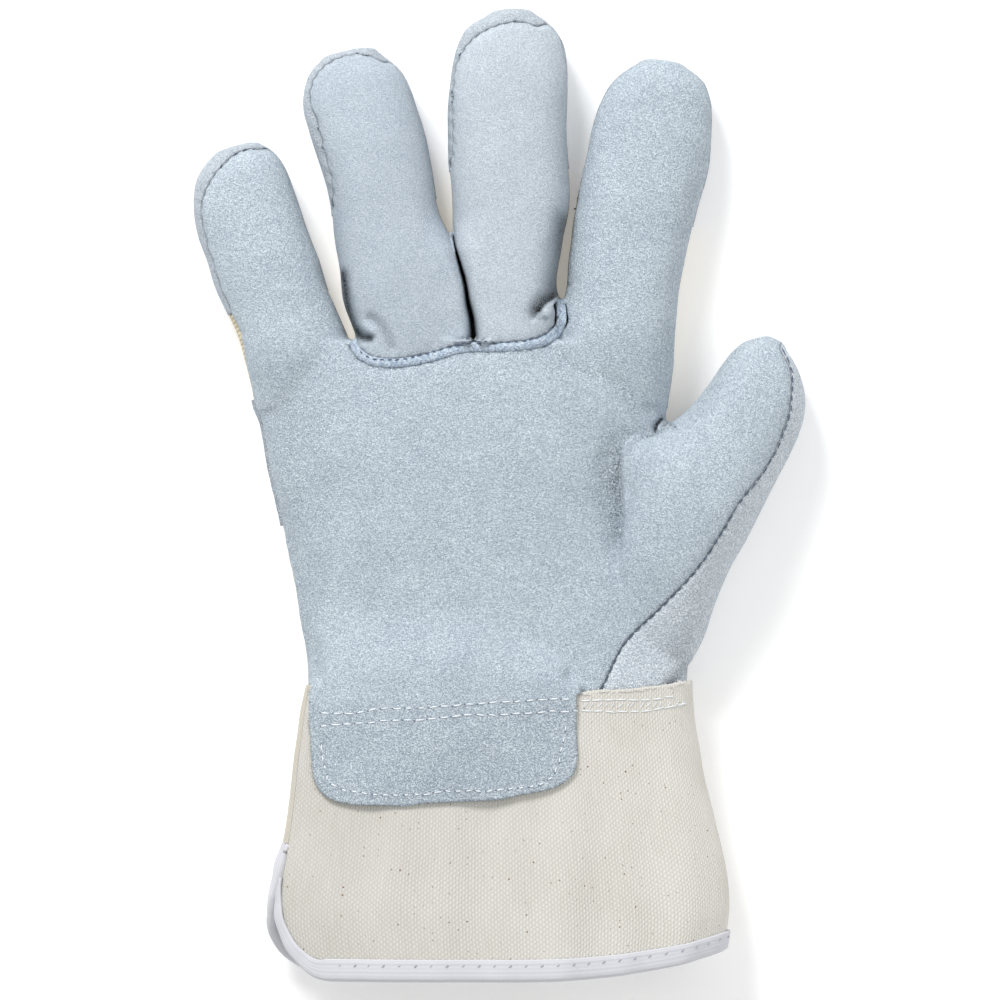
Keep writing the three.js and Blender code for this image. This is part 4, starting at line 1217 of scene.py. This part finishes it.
# Loose fibres stand out of the tab's raw edge, tan and blue-grey
fuzz = bmesh.new()
for at in np.arange(14.0, walked(tab_edge)[-1] - 2.0, 0.32):
    x, y = on_line(tab_edge, at, 0.25)[:2]
    ahead_x, ahead_y = on_line(tab_edge, at + 0.25, 0.25)[2:]
    lean, reach = chance.normal(0, 0.7), chance.uniform(0.4, 1.1)
    out = Vector((ahead_y, -ahead_x, 0))
    out.rotate(Matrix.Rotation(lean, 3, "Z"))
    foot = Vector((x, y, top_surface(x, y) - 0.3)) - out * 0.3
    tip = foot + out * (reach + 0.3) + Vector((0, 0, chance.uniform(-1.0, 0.1)))
    thread_bit(fuzz, (foot + tip) / 2, tip - foot, (tip - foot).length, 0.22, 0.2, 5, 4)
edge_fibres = finished("tab_edge_fibres", fuzz)
edge_fibres.data.materials.append(thread_finish("edge fibres", (146, 142, 134), (196, 196, 192), 1.0, 700.0))

# Frayed ends of the canvas's cut top edge, over the thumb wing
fray = bmesh.new()
for _ in range(70):
    x = chance.uniform(22.0, 52.0)
    y = np.interp(x, *CANVAS_TOP.T)
    lean, reach = chance.normal(0, 0.9), chance.uniform(0.6, 2.2)
    start = Vector((x, y - 0.9, top_surface(x, y - 0.9) + 0.1))
    end = Vector((x + lean * reach, y - 0.6 + reach * abs(math.cos(lean)) * 0.7, 0))
    end.z = min(max(top_surface(end.x, end.y) + 0.3, start.z - 1.5), start.z + 0.3)
    thread_bit(fray, (start + end) / 2, end - start, (end - start).length, 0.2, 0.2, 5, 5)
frayed = finished("frayed_threads", fray)
frayed.data.materials.append(thread_finish("loose cotton", (206, 203, 196), (230, 229, 226), 0.9))

# One row of short grey ticks holds the binding
ticks = bmesh.new()
for at in np.arange(38.0, tape_length / 2, 4.4):
    ends = beside_tape(np.array([at - 0.35, at + 0.35]), np.array([2.9, 3.5]), 1.02)
    start, end = (Vector(end) for end in ends)
    thread_bit(ticks, (start + end) / 2, end - start, (end - start).length * 1.3, 0.35, 0.3, 6, 5)
tape_stitches = finished("binding_stitches", ticks)
tape_stitches.data.materials.append(thread_finish("grey thread", (142, 144, 158), (176, 178, 190), 0.8))

# Floor, light and camera
# A plain white floor under broad soft light: a key light from the upper left and a weak fill from the
# right. The camera looks straight down from a distance, so that the picture has little perspective.
floor_bm = bmesh.new()
bmesh.ops.create_grid(floor_bm, x_segments=1, y_segments=1, size=3.0)
floor = placed("floor", mesh_from(floor_bm, "floor"))
white, _, white_shader = matte("white floor", rough=1.0, shine=0.0)
white_shader.inputs["Base Color"].default_value = (0.9, 0.9, 0.9, 1)
white_shader.inputs["Emission Color"].default_value = (1, 1, 1, 1)
white_shader.inputs["Emission Strength"].default_value = 0.18
floor.data.materials.append(white)

scene = bpy.context.scene
scene.view_settings.view_transform = "Standard"
world = bpy.data.worlds.new("studio")
scene.world = world
world.use_nodes = True
daylight = world.node_tree.nodes["Background"]
daylight.inputs["Color"].default_value = (1.0, 1.0, 1.0, 1)
daylight.inputs["Strength"].default_value = 0.64


def soft_light(name, place, size, power):
    data = bpy.data.lights.new(name, "AREA")
    data.shape = "SQUARE"
    data.size = size
    data.energy = power
    lamp = placed(name, data)
    lamp.location = place
    lamp.rotation_euler = (-Vector(place)).to_track_quat("-Z", "Y").to_euler()


soft_light("key light", (-0.55, 1.15, 0.95), 0.5, 22.0)
soft_light("fill light", (1.0, -0.1, 1.4), 1.2, 6.0)

CAMERA_HEIGHT = 3.0
PICTURE_WIDTH = 0.27778
GLOVE_MIDDLE = 0.015
camera = placed("camera", bpy.data.cameras.new("camera"))
camera.data.sensor_width = 36.0
camera.data.lens = camera.data.sensor_width * CAMERA_HEIGHT / PICTURE_WIDTH
camera.location = (0.00014, -0.00167, CAMERA_HEIGHT + GLOVE_MIDDLE)
scene.camera = camera
